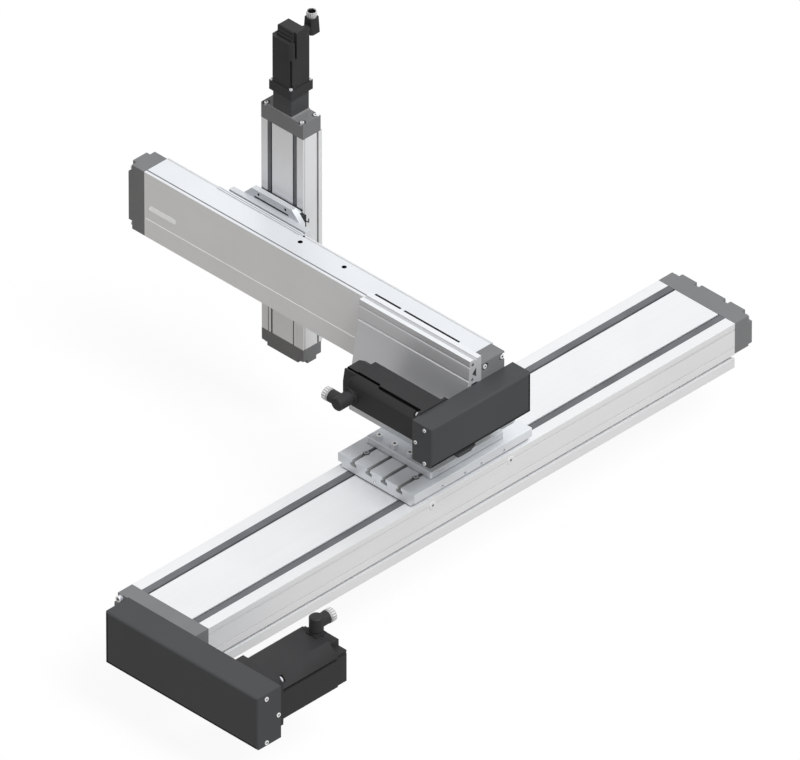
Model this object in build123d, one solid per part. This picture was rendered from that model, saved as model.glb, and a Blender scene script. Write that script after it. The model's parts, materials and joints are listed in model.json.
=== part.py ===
from build123d import *
import os

# Three-axis linear handling system: X module, Y beam on an angle bracket, Z module.
# Millimetres, +Z up, origin at the centre of the X module's underside.

# Sizes of the three linear modules: width, height, profile length
X_W, X_H, X_L = 200.0, 100.0, 1384.0
Y_W, Y_H, Y_L = 145.0, 65.0, 850.0
Z_W, Z_H, Z_L = 110.0, 50.0, 477.0

# Where the modules stand in the drawn pose
Y_START_Y = -86.0
Y_CENTRE_Y = Y_START_Y + Y_L / 2
Y_CENTRE_Z = 288.5
Z_CENTRE_Y = 512.5
Z_BASE_X = 162.0
Z_CENTRE_Z = 288.5

# Carriages, plates and bracket
RUN_GAP = 2.0
TABLE_X_LEN = 309.0
TABLE_Y_LEN = 200.0
TABLE_Z_LEN = 158.0
ADAPTER_T = 15.0
ADAPTER_X0, ADAPTER_X1 = -96.0, 96.0
ADAPTER_HALF = 85.0
ADAPTER_EDGE = 10.0
BRACKET_Y0, BRACKET_Y1 = Y_START_Y - 34.2, 168.5
BRACKET_NOTCH = (-76.0, 232.0)
TABLE_ROWS = (-60.0, -20.0, 20.0, 60.0)
TABLE_HOLES = (-80.8, -21.5, 21.5, 80.8)
BRACKET_TOP = 380.0
CROSS_T = 12.0
COVER_ROUND = 4.5
HEAD_GAP = 2.0
CROSS_TOP = 379.5
Y_HEAD_ROWS = (10.5, 55.5)
Y_HEAD_UP = 61.5

# Fits between moving and fixed pieces
FIT = 0.3
SHAFT_FIT = 0.05
BELT_FIT = 0.15


class Spec:
    """Sizes of one linear module across its section."""

    def __init__(self, **values):
        self.__dict__.update(values)


X = Spec(W=X_W, H=X_H, L=X_L, cover=55.8, web=56.6, web_t=2.8, lip=60.2, land=75.0, lip_t=10.0,
         wall=78.0, wall_up=86.0, floor=16.0, ledge=36.0, rail_y=54.0, rail_w=23.0, rail_h=20.0,
         block_w=44.0, block_z=(21.0, 46.0), plate_z=(46.0, 60.0), axis_z=42.0, screw_r=16.0,
         nut_r=23.0, nut_w=30.0, nut_z=(17.6, 68.0), nut_l=90.0, journal_r=12.5, bearing_r=29.0,
         head_t=34.0, head_z=(0.0, 100.0), cap_z=(31.0, 100.0), cap_t=36.5, block_l=70.0,
         pad_t=9.0, pad_z=(35.0, 84.0), pad_rows=((-82.0, -44.0), (-31.0, 31.0), (44.0, 82.0)),
         table_l=TABLE_X_LEN, table_z=(102.0, 111.0, 130.0), leg_y=90.0, slot_z=25.5, slot_w=8.0,
         vee_z=85.0, line_z=46.0, line_w=1.4, base_w=10.0, cover_z=(96.2, 99.4))
Y = Spec(W=Y_W, H=Y_H, L=Y_L, cover=39.0, web=39.8, web_t=2.4, lip=42.8, land=54.0, lip_t=7.0,
         wall=56.0, wall_up=62.0, floor=11.0, ledge=26.0, rail_y=40.0, rail_w=15.0, rail_h=14.0,
         block_w=30.0, block_z=(14.5, 32.0), plate_z=(32.0, 42.0), axis_z=32.0, screw_r=10.0,
         nut_r=17.0, nut_w=21.0, nut_z=(12.4, 52.0), nut_l=64.0, journal_r=8.0, bearing_r=19.0,
         head_t=34.5, head_z=(0.0, 60.5), cap_z=(0.0, 60.5), cap_t=33.0, block_l=46.0,
         pad_t=9.0, pad_z=(12.0, 48.0), pad_rows=((-54.5, 54.5),),
         table_l=TABLE_Y_LEN, table_z=(67.0, 72.0, 86.0), leg_y=66.5, slot_z=20.5, slot_w=0.0,
         vee_z=60.5, line_z=7.5, line_w=3.0, base_w=0.0, cover_z=(61.8, 64.6))
Z = Spec(W=Z_W, H=Z_H, L=Z_L, cover=27.0, web=27.7, web_t=2.2, lip=30.5, land=38.5, lip_t=5.5,
         wall=42.0, wall_up=47.0, floor=9.0, ledge=19.0, rail_y=30.0, rail_w=12.0, rail_h=11.0,
         block_w=22.0, block_z=(11.6, 25.0), plate_z=(25.0, 33.0), axis_z=26.4, screw_r=8.0,
         nut_r=13.0, nut_w=16.5, nut_z=(10.4, 42.0), nut_l=50.0, journal_r=6.0, bearing_r=14.0,
         head_t=28.0, head_z=(3.5, 50.0), cap_z=(3.5, 50.0), cap_t=26.0, block_l=36.0,
         pad_t=8.0, pad_z=(16.0, 39.4), pad_rows=((-40.5, 40.5),),
         table_l=TABLE_Z_LEN, table_z=(51.6, 54.0, 64.0), leg_y=50.0, slot_z=11.3, slot_w=4.6,
         vee_z=46.0, line_z=30.0, line_w=0.0, base_w=5.5, cover_z=(47.4, 49.6))

# Module frames: local x runs along the module away from the drive, z from base to carriage
X_AT = Plane(origin=(0, 0, 0), x_dir=(1, 0, 0), z_dir=(0, 0, 1)).location
Y_AT = Plane(origin=(0, Y_CENTRE_Y, Y_CENTRE_Z), x_dir=(0, 1, 0), z_dir=(1, 0, 0)).location
Z_AT = Plane(origin=(Z_BASE_X, Z_CENTRE_Y, Z_CENTRE_Z), x_dir=(0, 0, -1), z_dir=(-1, 0, 0)).location

# Belt side drives: local x runs from the screw to the motor, z outwards from the module
X_DRIVE = Spec(pitch=251.0, a0=-74.0, a1=323.0, b0=-58.0, b1=58.0, depth=62.0, wall=6.0, end=9.0,
               pulley_r=40.0, belt_t=4.0, belt_w=32.0, motor_bore=12.0)
Y_DRIVE = Spec(pitch=157.0, a0=-50.0, a1=213.0, b0=-37.0, b1=51.5, depth=48.5, wall=5.0, end=7.0,
               pulley_r=26.0, belt_t=3.2, belt_w=25.0, motor_bore=8.5)
X_DRIVE_AT = Plane(origin=(-X_L / 2 - X.head_t, 0, X.axis_z), x_dir=(0, -1, 0), z_dir=(-1, 0, 0)).location
Y_DRIVE_AT = Plane(origin=(Y.axis_z, Y_CENTRE_Y - Y_L / 2 - Y.head_t, Y_CENTRE_Z),
                   x_dir=(-1, 0, 0), z_dir=(0, -1, 0)).location

# Outlines of the motors' rear caps, in each motor's own x and y
NOTCHED_CAP = ((49, 33.5), (35, 33.5), (35, 54), (-35, 54), (-35, 33.5), (-49, 33.5), (-49, -33.5),
               (-35, -33.5), (-35, -54), (35, -54), (35, -33.5), (49, -33.5))
HOODED_CAP = ((29, 39), (34, 12), (34, -28), (26, -36), (-26, -36), (-34, -28), (-34, 20), (-25, 29),
              (-9, 39))
FLUSH_CAP = ((-14, -27), (15, -27), (15, 21), (-14, 21))

# Motors: local z runs from the flange to the rear, x towards the connector
X_MOTOR = Spec(side=116.0, bevel=24.4, length=190.5, cap_l=28.5, cap=NOTCHED_CAP,
               cap_edge=2.0, ribs=(), flange=116.0, flange_cut=11.6, flange_t=20.0, shaft_r=11.0,
               screw_d=46.0, screw=8.0, shank=1.4, chan=(0.0, 7.8), split=0.0, side_chan=(25.0, 32.0),
               turn=0, back=26.8, foot=13.5, neck_r=12.5, neck_h=23.4, elbow_r=13.0, elbow_up=27.6,
               elbow_down=14.0, taper=0.0, ring_r=13.6, ring_l=13.0)
Y_MOTOR = Spec(side=82.0, bevel=17.0, length=205.0, cap_l=29.0, cap=HOODED_CAP,
               cap_edge=2.0, ribs=(), flange=82.0, flange_cut=7.0, flange_t=6.0, shaft_r=8.0,
               screw_d=32.8, screw=6.0, shank=0.85, chan=(5.7, 7.8), split=117.0, side_chan=(20.5, 25.5),
               turn=0, back=34.0, foot=12.5, neck_r=11.5, neck_h=28.0, elbow_r=13.0, elbow_up=27.6,
               elbow_down=14.0, taper=0.0, ring_r=13.2, ring_l=13.0)
Z_MOTOR = Spec(side=54.0, bevel=5.5, length=142.0, cap_l=20.0, cap=FLUSH_CAP,
               cap_edge=2.0, ribs=((-20.0, 6.0), (-17.0, 12.0)), flange=59.0, flange_cut=1.5, flange_t=19.5, shaft_r=5.0,
               screw_d=25.2, screw=4.0, shank=1.4, chan=(3.7, 0.0), split=84.0, side_chan=(11.4, 16.6),
               turn=180, back=30.0, foot=11.0, neck_r=9.5, neck_h=27.6, elbow_r=12.5, elbow_up=23.0,
               elbow_down=10.0, taper=3.5, ring_r=9.7, ring_l=13.0)
X_MOTOR_AT = Plane(origin=(-X_L / 2 - X.head_t, -X_DRIVE.pitch, X.axis_z),
                   x_dir=(0, 0, 1), z_dir=(1, 0, 0)).location
Y_MOTOR_AT = Plane(origin=(Y.axis_z - Y_DRIVE.pitch, Y_CENTRE_Y - Y_L / 2 - Y.head_t, Y_CENTRE_Z),
                   x_dir=(-1, 0, 0), z_dir=(0, 1, 0)).location
Z_MOUNT_Z0 = Z_CENTRE_Z + Z_L / 2 + Z.head_t
Z_MOUNT_T = 51.0
Z_BOSS_T = 8.0
Z_RAISED = 6.0
Z_EDGE, Z_SIDE = 5.8, 8.0
Z_MOTOR_AT = Plane(origin=(Z_BASE_X - Z.axis_z, Z_CENTRE_Y, Z_MOUNT_Z0 + Z_MOUNT_T),
                   x_dir=(1, 0, 0), z_dir=(0, 0, 1)).location


def box(x0, x1, y0, y1, z0, z1):
    solid = Box(x1 - x0, y1 - y0, z1 - z0)
    return Pos((x0 + x1) / 2, (y0 + y1) / 2, (z0 + z1) / 2) * solid


def rod(r, x0, x1, y=0.0, z=0.0):
    """Cylinder along x."""
    return Pos((x0 + x1) / 2, y, z) * Rot(0, 90, 0) * Cylinder(r, x1 - x0)


def post(r, z0, z1, x=0.0, y=0.0):
    """Cylinder along z."""
    return Pos(x, y, (z0 + z1) / 2) * Cylinder(r, z1 - z0)


def both(maker):
    """The same solid on both sides of the module's middle plane."""
    solid = maker(1)
    return [solid, mirror(solid, about=Plane.XZ)]


def fuse(items):
    result = items[0]
    for item in items[1:]:
        result = result + item
    return result


def save(name, items):
    solids = []
    for item in items if isinstance(items, list) else [items]:
        solids.extend(item.solids())
    shape = solids[0] if len(solids) == 1 else Compound(children=solids)
    shape.label = name
    export_step(shape, "parts/" + name + ".step")


# One linear module in its own frame


def profile(m):
    """Extruded body: floor, side walls and inward lips over the rails."""
    half = [(0, 0), (m.W / 2, 0), (m.W / 2, m.H), (m.land, m.H), (m.land, m.H - m.lip_t),
            (m.wall_up, m.H - m.lip_t), (m.wall_up, m.ledge + 6), (m.wall, m.ledge),
            (m.wall, m.floor), (0, m.floor)]
    left = [(-y, z) for y, z in reversed(half[1:-1])]
    outline = Polyline(*(half + left), close=True)
    section = Plane.YZ * make_face(outline)
    body = Pos(-m.L / 2, 0, 0) * extrude(section, m.L)
    for side in (-1, 1):
        body = body - side_grooves(m, side)
    return body - base_grooves(m) if m.base_w else body


def side_grooves(m, side):
    """Clamping slot, V groove and fine line along one side of the profile."""
    face = side * m.W / 2
    far = m.L / 2 + 1
    cuts = Pos(0, face, m.vee_z) * Rot(45, 0, 0) * Box(2 * far, 2.4, 2.4)
    if m.line_w:
        cuts = cuts + Pos(0, face, m.line_z) * Box(2 * far, 2.0 + m.line_w / 2, m.line_w)
    if m.slot_w:
        cuts = cuts + Pos(0, face, m.slot_z) * Box(2 * far, 9.0, m.slot_w)
        cuts = cuts + Pos(0, face - side * 7.5, m.slot_z) * Box(2 * far, 6.0, m.slot_w * 1.7)
    return cuts


def base_grooves(m):
    """Two shallow grooves along the underside."""
    cuts = []
    for side in (-1, 1):
        cuts.append(Pos(0, side * m.W * 0.3, 0) * Box(m.L + 2, m.base_w, 2.0))
    return fuse(cuts)


def rails(m):
    def one(side):
        y0 = m.rail_y - m.rail_w / 2
        bar = box(-m.L / 2 + 2, m.L / 2 - 2, y0, y0 + m.rail_w, m.floor, m.floor + m.rail_h)
        for edge in (y0, y0 + m.rail_w):
            bar = bar - rod(1.8, -m.L / 2, m.L / 2, edge, m.floor + m.rail_h * 0.62)
        return bar
    return both(one)


def cover_plate(m):
    return box(-m.L / 2, m.L / 2, -m.cover, m.cover, *m.cover_z)


def seal_strips(m):
    def one(side):
        return box(-m.L / 2, m.L / 2, m.lip, m.land, m.cover_z[0], m.cover_z[1] + 0.1)
    return both(one)


def drive_head(m, bore_r):
    """Block at the driven end that carries the fixed bearing."""
    x0 = -m.L / 2 - m.head_t
    body = box(x0, -m.L / 2, -m.W / 2, m.W / 2, *m.head_z)
    body = body - rod(m.bearing_r, x0 + 6, -m.L / 2 + 1, 0, m.axis_z)
    return body - rod(bore_r, x0 - 1, -m.L / 2, 0, m.axis_z)


def end_cap(m):
    """Cap at the free end with the floating bearing, raised outside except at its screws."""
    x1 = m.L / 2 + m.cap_t
    body = box(m.L / 2, x1, -m.W / 2, m.W / 2, *m.cap_z)
    body = body + box(x1 - 0.5, x1 + m.pad_t, -m.W / 2, m.W / 2, *m.pad_z)
    for y0, y1 in m.pad_rows:
        body = body + box(x1 - 0.5, x1 + m.pad_t, y0, y1, *m.cap_z)
    return body - rod(m.bearing_r * 0.8, m.L / 2 - 1, m.L / 2 + m.cap_t - 10, 0, m.axis_z)


def bearings(m):
    x0 = -m.L / 2 - m.head_t + 6
    fixed = rod(m.bearing_r, x0, -m.L / 2 - 2, 0, m.axis_z)
    floating = rod(m.bearing_r * 0.8, m.L / 2 + 2, m.L / 2 + m.cap_t - 10, 0, m.axis_z)
    hole = rod(m.journal_r + SHAFT_FIT, -m.L, m.L, 0, m.axis_z)
    return [fixed - hole, floating - hole]


def ball_screw(m, drive_end):
    """Screw with turned journals; the driven journal reaches into the drive."""
    body = rod(m.screw_r, -m.L / 2 + 8, m.L / 2 - 8, 0, m.axis_z)
    journals = rod(m.journal_r, drive_end, m.L / 2 + m.cap_t - 14, 0, m.axis_z)
    return body + journals


def ball_nut(m):
    nut = rod(m.nut_r, -m.nut_l / 2, m.nut_l / 2, 0, m.axis_z)
    return nut - rod(m.screw_r + FIT, -m.nut_l, m.nut_l, 0, m.axis_z)


def runner_blocks(m):
    """Four blocks riding on the two rails."""
    made = []
    z0, z1 = m.block_z
    gap = FIT
    for x in (-m.table_l / 2 + m.block_l / 2 + 6, m.table_l / 2 - m.block_l / 2 - 6):
        for side in (-1, 1):
            y = side * m.rail_y
            block = box(x - m.block_l / 2, x + m.block_l / 2, y - m.block_w / 2, y + m.block_w / 2, z0, z1)
            top = m.floor + m.rail_h + gap
            half = m.rail_w / 2 + gap
            made.append(block - box(x - 99, x + 99, y - half, y + half, z0 - 1, top))
    return made


def carriage_inner(m):
    """Nut housing and cross plate inside the profile, with the two webs that pass its slots."""
    half = m.table_l / 2
    body = box(-half + 4, half - 4, -m.wall + 2, m.wall - 2, *m.plate_z)
    body = body + box(-m.nut_l / 2 - 12, m.nut_l / 2 + 12, -m.nut_w, m.nut_w, *m.nut_z)
    for side in (-1, 1):
        y0 = min(side * m.web, side * (m.web + m.web_t))
        body = body + box(-half + 4, half - 4, y0, y0 + m.web_t, m.plate_z[1] - 1, m.table_z[0] + 1)
    body = body - rod(m.nut_r, -m.nut_l / 2, m.nut_l / 2, 0, m.axis_z)
    return body - rod(m.screw_r + 3, -m.table_l, m.table_l, 0, m.axis_z)


def carriage_outer(m):
    """Table with chamfered long edges on a narrower lower part."""
    half = m.table_l / 2
    lower = box(-half, half, -m.leg_y, m.leg_y, m.table_z[0], m.table_z[1])
    table = box(-half, half, -m.W / 2, m.W / 2, m.table_z[1], m.table_z[2])
    table = chamfer(table.edges().filter_by(Axis.X).group_by(Axis.Z)[-1], 1.5)
    return lower + table


def table_slots(m, rows, width):
    """T-slots along the table, open at both ends."""
    z1 = m.table_z[2]
    cuts = []
    for y in rows:
        cuts.append(box(-m.table_l, m.table_l, y - width / 2, y + width / 2, z1 - 7, z1 + 1))
        cuts.append(box(-m.table_l, m.table_l, y - width, y + width, z1 - 14, z1 - 6.5))
    return fuse(cuts)


def flange_holes(m, places, r):
    """Tapped holes in the long edges of the table."""
    z = m.table_z[1] + 4
    cuts = []
    for x in places:
        for side in (-1, 1):
            cuts.append(Pos(x, side * m.W / 2, z) * Rot(90, 0, 0) * Cylinder(r, 24))
    return fuse(cuts)


# Belt side drive in its own frame


def belt_housing(d, journal_r):
    """Box section along x with the belt run inside and two bores in its inner wall."""
    outer = box(d.a0 + d.end, d.a1 - d.end, d.b0, d.b1, 0, d.depth)
    outer = fillet(outer.edges().filter_by(Axis.X).group_by(Axis.Z)[-1], COVER_ROUND)
    inner = box(d.a0 - 1, d.a1 + 1, d.b0 + d.wall, d.b1 - d.wall, d.wall, d.depth - d.wall)
    body = outer - inner
    body = body - post(journal_r + 3, -1, d.wall + 1)
    return body - post(d.motor_bore + 1.5, -1, d.wall + 1, d.pitch)


def belt_covers(d):
    """End covers with a spigot that plugs the housing."""
    made = []
    for a, inward in ((d.a0, 1), (d.a1 - d.end, -1)):
        plate = box(a, a + d.end, d.b0, d.b1, 0, d.depth)
        inner_x = a + d.end if inward > 0 else a
        rim = [e for e in plate.edges().group_by(Axis.Z)[-1] if abs(e.center().X - inner_x) > 1]
        plate = fillet(rim, COVER_ROUND)
        s0 = a + d.end if inward > 0 else a - 4
        spigot = box(s0 - 0.5, s0 + 4.5, d.b0 + d.wall, d.b1 - d.wall, d.wall, d.depth - d.wall)
        made.append(plate + spigot)
    return made


def slot_plate(r, pitch, z0, z1):
    """Solid with a stadium outline around both pulley axes."""
    body = box(0, pitch, -r, r, z0, z1)
    return body + post(r, z0, z1) + post(r, z0, z1, pitch)


def timing_belt(d):
    z0 = d.depth / 2 - d.belt_w / 2
    inner = d.pulley_r + BELT_FIT
    loop = slot_plate(inner + d.belt_t, d.pitch, z0, z0 + d.belt_w)
    return loop - slot_plate(inner, d.pitch, z0 - 1, z0 + d.belt_w + 1)


def pulley(d, bore_r, x):
    """Toothless running drum between two low flanges, with a hub bore."""
    z0 = d.depth / 2 - d.belt_w / 2
    drum = post(d.pulley_r, z0, z0 + d.belt_w, x)
    return drum - post(bore_r, z0 - 9, z0 + d.belt_w + 9, x)


# Motor in its own frame


def chamfered_block(side, cut, z0, z1):
    solid = box(-side / 2, side / 2, -side / 2, side / 2, z0, z1)
    return chamfer(solid.edges().filter_by(Axis.Z), cut)


def motor(p):
    """Servo motor: flange, eight-sided body and a smaller rear cap."""
    body_end = p.length - p.cap_l
    body = chamfered_block(p.side, p.bevel, p.flange_t - 0.5, body_end)
    pockets = [post(p.screw * 0.8 + 1, p.flange_t, p.flange_t + p.screw + 6, x, y)
               for x, y in motor_screws(p)]
    body = body - fuse(pockets) - motor_channels(p, body_end)
    cap = Pos(0, 0, body_end - 0.5) * extrude(make_face(Polyline(*p.cap, close=True)), p.cap_l + 0.5)
    cap = chamfer(cap.faces().sort_by(Axis.Z)[-1].edges(), p.cap_edge)
    for x, rise in p.ribs:
        cap = cap + box(x, 0, -21, 17, body_end - 0.5, body_end + rise)
    cap = cap - side_channel(p)
    whole = body + cap + chamfered_block(p.flange, p.flange_cut, 0, p.flange_t)
    return whole - post(p.shaft_r + SHAFT_FIT, -1, p.flange_t + 34)


def motor_screws(p):
    """Places of the four flange screws."""
    return [(x, y) for x in (-p.screw_d, p.screw_d) for y in (-p.screw_d, p.screw_d)]


def side_channel(p):
    """Open groove in one side of the motor, from the split to the rear end."""
    u0, u1 = p.side_chan
    return Rot(0, 0, p.turn) * box(u0, u1, p.side / 2 - 6.5, p.side / 2 + 1, p.split or p.flange_t,
                                   p.length + 1)


def motor_channels(p, body_end):
    """Screw channels along the bevels, and the groove beside one of them."""
    plane = (p.side - p.bevel) / 2 ** 0.5
    cuts = [side_channel(p)]
    width, shift = p.chan
    if width:
        for turn in (45, 135, 225, 315):
            cut = box(plane - 5, plane + 9, shift - width / 2, shift + width / 2, p.flange_t, p.split)
            cuts.append(Rot(0, 0, turn) * cut)
    return fuse(cuts)


def connector(p):
    """Angled round connector: foot, neck, elbow and an open threaded ring."""
    z = p.length - p.back
    face = p.side / 2
    axis_x = face + p.neck_h
    foot = box(face, face + 3, -p.foot, p.foot, z - p.foot, z + p.foot)
    neck = Pos(0, 0, z) * rod(p.neck_r, face, axis_x)
    collar = Pos(0, 0, z) * rod(p.neck_r + 1.5, face + 3, face + 7)
    elbow = tapered_elbow(p, axis_x, z) if p.taper else round_elbow(p, axis_x, z)
    ring = post(p.ring_r, z + p.elbow_up - 1, z + p.elbow_up + p.ring_l, axis_x)
    bore = post(p.ring_r - 2.2, z + p.elbow_up - 6, z + p.elbow_up + p.ring_l + 1, axis_x)
    pins = [post(0.9, z + p.elbow_up - 7, z + p.elbow_up + 3, axis_x + dx, dy)
            for dx, dy in ((-4, 0), (4, 0), (0, -4), (0, 4))]
    return foot + neck + collar + elbow + ring - bore + fuse(pins)


def round_elbow(p, axis_x, z):
    """Two drums that meet at a right angle."""
    upright = Pos(0, 0, z) * rod(p.elbow_down, axis_x - 14, axis_x + 16)
    upright = chamfer(upright.edges().group_by(Axis.X)[-1], 3)
    return upright + post(p.elbow_r, z, z + p.elbow_up, axis_x)


def tapered_elbow(p, axis_x, z):
    """Square block with cut corners that narrows towards the ring."""
    side = 2 * p.elbow_r
    section = chamfer(Rectangle(side, side).vertices(), p.elbow_r * 0.3)
    block = extrude(section, p.elbow_up + p.elbow_down, taper=p.taper)
    return Pos(axis_x, 0, z - p.elbow_down) * block


def motor_shaft(p, reach):
    return post(p.shaft_r, -reach, p.flange_t + 30)


# Screws: heads with their shanks, set into the piece that they hold


def socket_screw(r_head, head, r_shank, shank):
    """Socket head screw along -z, with its seat at z = 0."""
    body = post(r_head, 0, head) + post(r_shank, -shank, 0.5)
    hexagon = extrude(RegularPolygon(r_head * 0.55, 6), head)
    return body - Pos(0, 0, head * 0.45) * hexagon


def on_face(point, normal, x_dir):
    return Plane(origin=point, x_dir=x_dir, z_dir=normal).location


# Placed screws of each body, with the holes they need
X_SCREW_SETS = []
CARRIED_SCREW_SETS = []
Z_SCREW_SETS = []


def add_screw(group, name, point, normal, size, sunk=0.0, head=0.75, shank=1.4):
    """Register one screw; size is the nominal thread diameter, head and shank are shares of it."""
    x_dir = (0, 0, 1) if abs(normal[2]) < 0.5 else (1, 0, 0)
    group.append((name, on_face(point, normal, x_dir), size, sunk, head, shank))


def add_motor_screws(group, name, at, p):
    for x, y in motor_screws(p):
        group.append((name, at * Pos(x, y, p.flange_t), p.screw, 0.0, 0.75, p.shank))


def screw_solid(entry):
    name, at, size, sunk, head, shank = entry
    screw = socket_screw(size * 0.8, size * head, size / 2, size * shank)
    return at * (Pos(0, 0, -sunk) * screw)


def screw_holes(shape, group, name):
    """Cut the shank holes and counterbores of the named piece."""
    for entry in group:
        if entry[0] != name:
            continue
        at, size, sunk, shank = entry[1], entry[2], entry[3], entry[5]
        shape = shape - at * post(size / 2, -sunk - size * shank, 1)
        if sunk:
            shape = shape - at * post(size * 0.8 + 0.6, -sunk, 1)
    return shape


def register_x_screws():
    end = -X_L / 2 - X.head_t
    edge = X_W / 2 - 8
    add_screw(X_SCREW_SETS, "x_drive_head", (end - 3, edge, X_H - 8), (-1, 0, 0), 8, 0, 1.0)
    for y, z in ((-90, 90), (90, 8), (-90, 12)):
        add_screw(X_SCREW_SETS, "x_drive_head", (end, y, z), (-1, 0, 0), 8, 6.2)
    for y in (-edge, -37.5, 37.5, edge):
        add_screw(X_SCREW_SETS, "x_end_cap", (X_L / 2 + X.cap_t, y, X_H - 8), (1, 0, 0), 7)
    add_motor_screws(X_SCREW_SETS, "x_motor", X_MOTOR_AT, X_MOTOR)
    for b, c in ((47, 38), (-4, 7), (-51, 38)):
        x = end - c
        add_screw(X_SCREW_SETS, "x_belt_cover", (x, -X_DRIVE.a1, X.axis_z + b), (0, -1, 0), 6, 3)
        add_screw(X_SCREW_SETS, "x_belt_cover", (x, -X_DRIVE.a0, X.axis_z + b), (0, 1, 0), 6, 3)


def register_carried_screws():
    top = X.table_z[2] + ADAPTER_T
    for x in (ADAPTER_X0 + ADAPTER_EDGE, ADAPTER_X1 - ADAPTER_EDGE):
        for y in TABLE_ROWS:
            add_screw(CARRIED_SCREW_SETS, "adapter_plate", (x, y, top), (0, 0, 1), 8, 0, 1.35)
    end = Y_CENTRE_Y - Y_L / 2 - Y.head_t
    for x in Y_HEAD_ROWS:
        for z in (Y_CENTRE_Z - Y_HEAD_UP, Y_CENTRE_Z + Y_HEAD_UP):
            add_screw(CARRIED_SCREW_SETS, "y_drive_head", (x, end, z), (0, -1, 0), 6, 5)
    up = Y_W / 2 - 9
    far = Y_CENTRE_Y + Y_L / 2 + Y.cap_t
    for x in (6, 54):
        for z in (Y_CENTRE_Z - up, Y_CENTRE_Z + up):
            add_screw(CARRIED_SCREW_SETS, "y_end_cap", (x, far, z), (0, 1, 0), 6)
    add_motor_screws(CARRIED_SCREW_SETS, "y_motor", Y_MOTOR_AT, Y_MOTOR)
    for b, c in ((-28, 32), (9.5, 8.5), (46, 32)):
        y = end - c
        z = Y_CENTRE_Z - b
        add_screw(CARRIED_SCREW_SETS, "y_belt_cover", (Y.axis_z - Y_DRIVE.a1, y, z), (-1, 0, 0), 5, 2.5)
        add_screw(CARRIED_SCREW_SETS, "y_belt_cover", (Y.axis_z - Y_DRIVE.a0, y, z), (1, 0, 0), 5, 2.5)


def register_z_screws():
    top = Z_CENTRE_Z + Z_L / 2 + Z.head_t
    low = Z_CENTRE_Z - Z_L / 2 - Z.cap_t
    for x in (Z_BASE_X - Z.head_z[1] + Z_EDGE, Z_BASE_X - Z.head_z[0] - Z_EDGE):
        for y in (Z_CENTRE_Y - Z_W / 2 + Z_SIDE, Z_CENTRE_Y + Z_W / 2 - Z_SIDE):
            add_screw(Z_SCREW_SETS, "z_drive_head", (x, y, top), (0, 0, 1), 5, 0, 1.3)
            add_screw(Z_SCREW_SETS, "z_end_cap", (x, y, low), (0, 0, -1), 5)
    add_motor_screws(Z_SCREW_SETS, "z_motor", Z_MOTOR_AT, Z_MOTOR)


# Loose plates and the bracket


def adapter_plate():
    z0 = X.table_z[2]
    plate = box(ADAPTER_X0, ADAPTER_X1, -ADAPTER_HALF, ADAPTER_HALF, z0, z0 + ADAPTER_T)
    return chamfer(plate.edges().filter_by(Axis.Z), 2)


def bracket_face():
    """Section of the angle bracket in X and Z: upright leg that flares into a foot."""
    z0 = X.table_z[2] + ADAPTER_T
    pts = [(-29.6, BRACKET_TOP), (-33.5, 341), (-46.5, 260), (-57, z0 + 18)]
    curve = Spline(*pts, tangents=[(-0.08, -1), (-0.04, -1)])
    lines = Polyline((-57, z0 + 18), (-57, z0), (70, z0), (70, z0 + 14), (30, z0 + 20),
                     (4, z0 + 46), (0, z0 + 52), (0, BRACKET_TOP), (-29.6, BRACKET_TOP))
    return make_face(curve + lines)


def bracket_chambers():
    """Hollow chambers and screw channels along the extrusion."""
    tri = make_face(Polyline((-13.5, 360), (-24, 349), (-13.5, 340.5), close=True))
    long_one = make_face(Polyline((-10, 328), (-26, 328), (-36, 262), (-10, 262), close=True))
    low = make_face(Polyline((-10, 250), (-36, 250), (-42, 196), (-10, 196), close=True))
    foot = make_face(Polyline((-10, 184), (-43, 184), (-45, 158), (6, 158), (-10, 180), close=True))
    rounds = [Pos(-22.5, 370) * Circle(3.2), Pos(-23.5, 337) * Circle(3.2)]
    return [tri, long_one, low, foot] + rounds


def angle_bracket():
    length = BRACKET_Y1 - BRACKET_Y0
    frame = Plane(origin=(0, BRACKET_Y1, 0), x_dir=(1, 0, 0), z_dir=(0, -1, 0)).location
    body = frame * extrude(bracket_face(), length)
    for hole in bracket_chambers():
        body = body - frame * Pos(0, 0, -1) * extrude(hole, length + 2)
    body = body - box(-99, 99, BRACKET_Y0 - 1, BRACKET_NOTCH[0], 0, BRACKET_NOTCH[1])
    mid = (BRACKET_Y0 + BRACKET_Y1) / 2
    body = body - Pos(-12.2, mid, BRACKET_TOP) * Box(2.2, length + 2, 3)
    for x, z in ((-30.6, 368), (-33.8, 338.6)):
        body = body - Pos(x, mid, z) * Rot(0, 45, 0) * Box(1.8, length + 2, 1.8)
    return body


def cross_plate():
    """Plate between the Y and Z carriages with two bevelled upper corners."""
    x0 = Y.table_z[2]
    y0, y1 = Z_CENTRE_Y - 74.5, Z_CENTRE_Y + 77.5
    z0 = 2 * Y_CENTRE_Z - CROSS_TOP
    plate = box(x0, x0 + CROSS_T, y0, y1, z0, CROSS_TOP)
    plate = chamfer(plate.edges().filter_by(Axis.X).group_by(Axis.Z)[-1], 23)
    for y in (Z_CENTRE_Y - 34, Z_CENTRE_Y + 36.5):
        plate = plate - Pos(x0, y, 372.3) * Rot(0, 90, 0) * Cylinder(2.6, 12)
    return plate - box(x0 - 1, x0 + 6, Z_CENTRE_Y - 42, Z_CENTRE_Y + 47.5, 361.6, 365)


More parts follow.
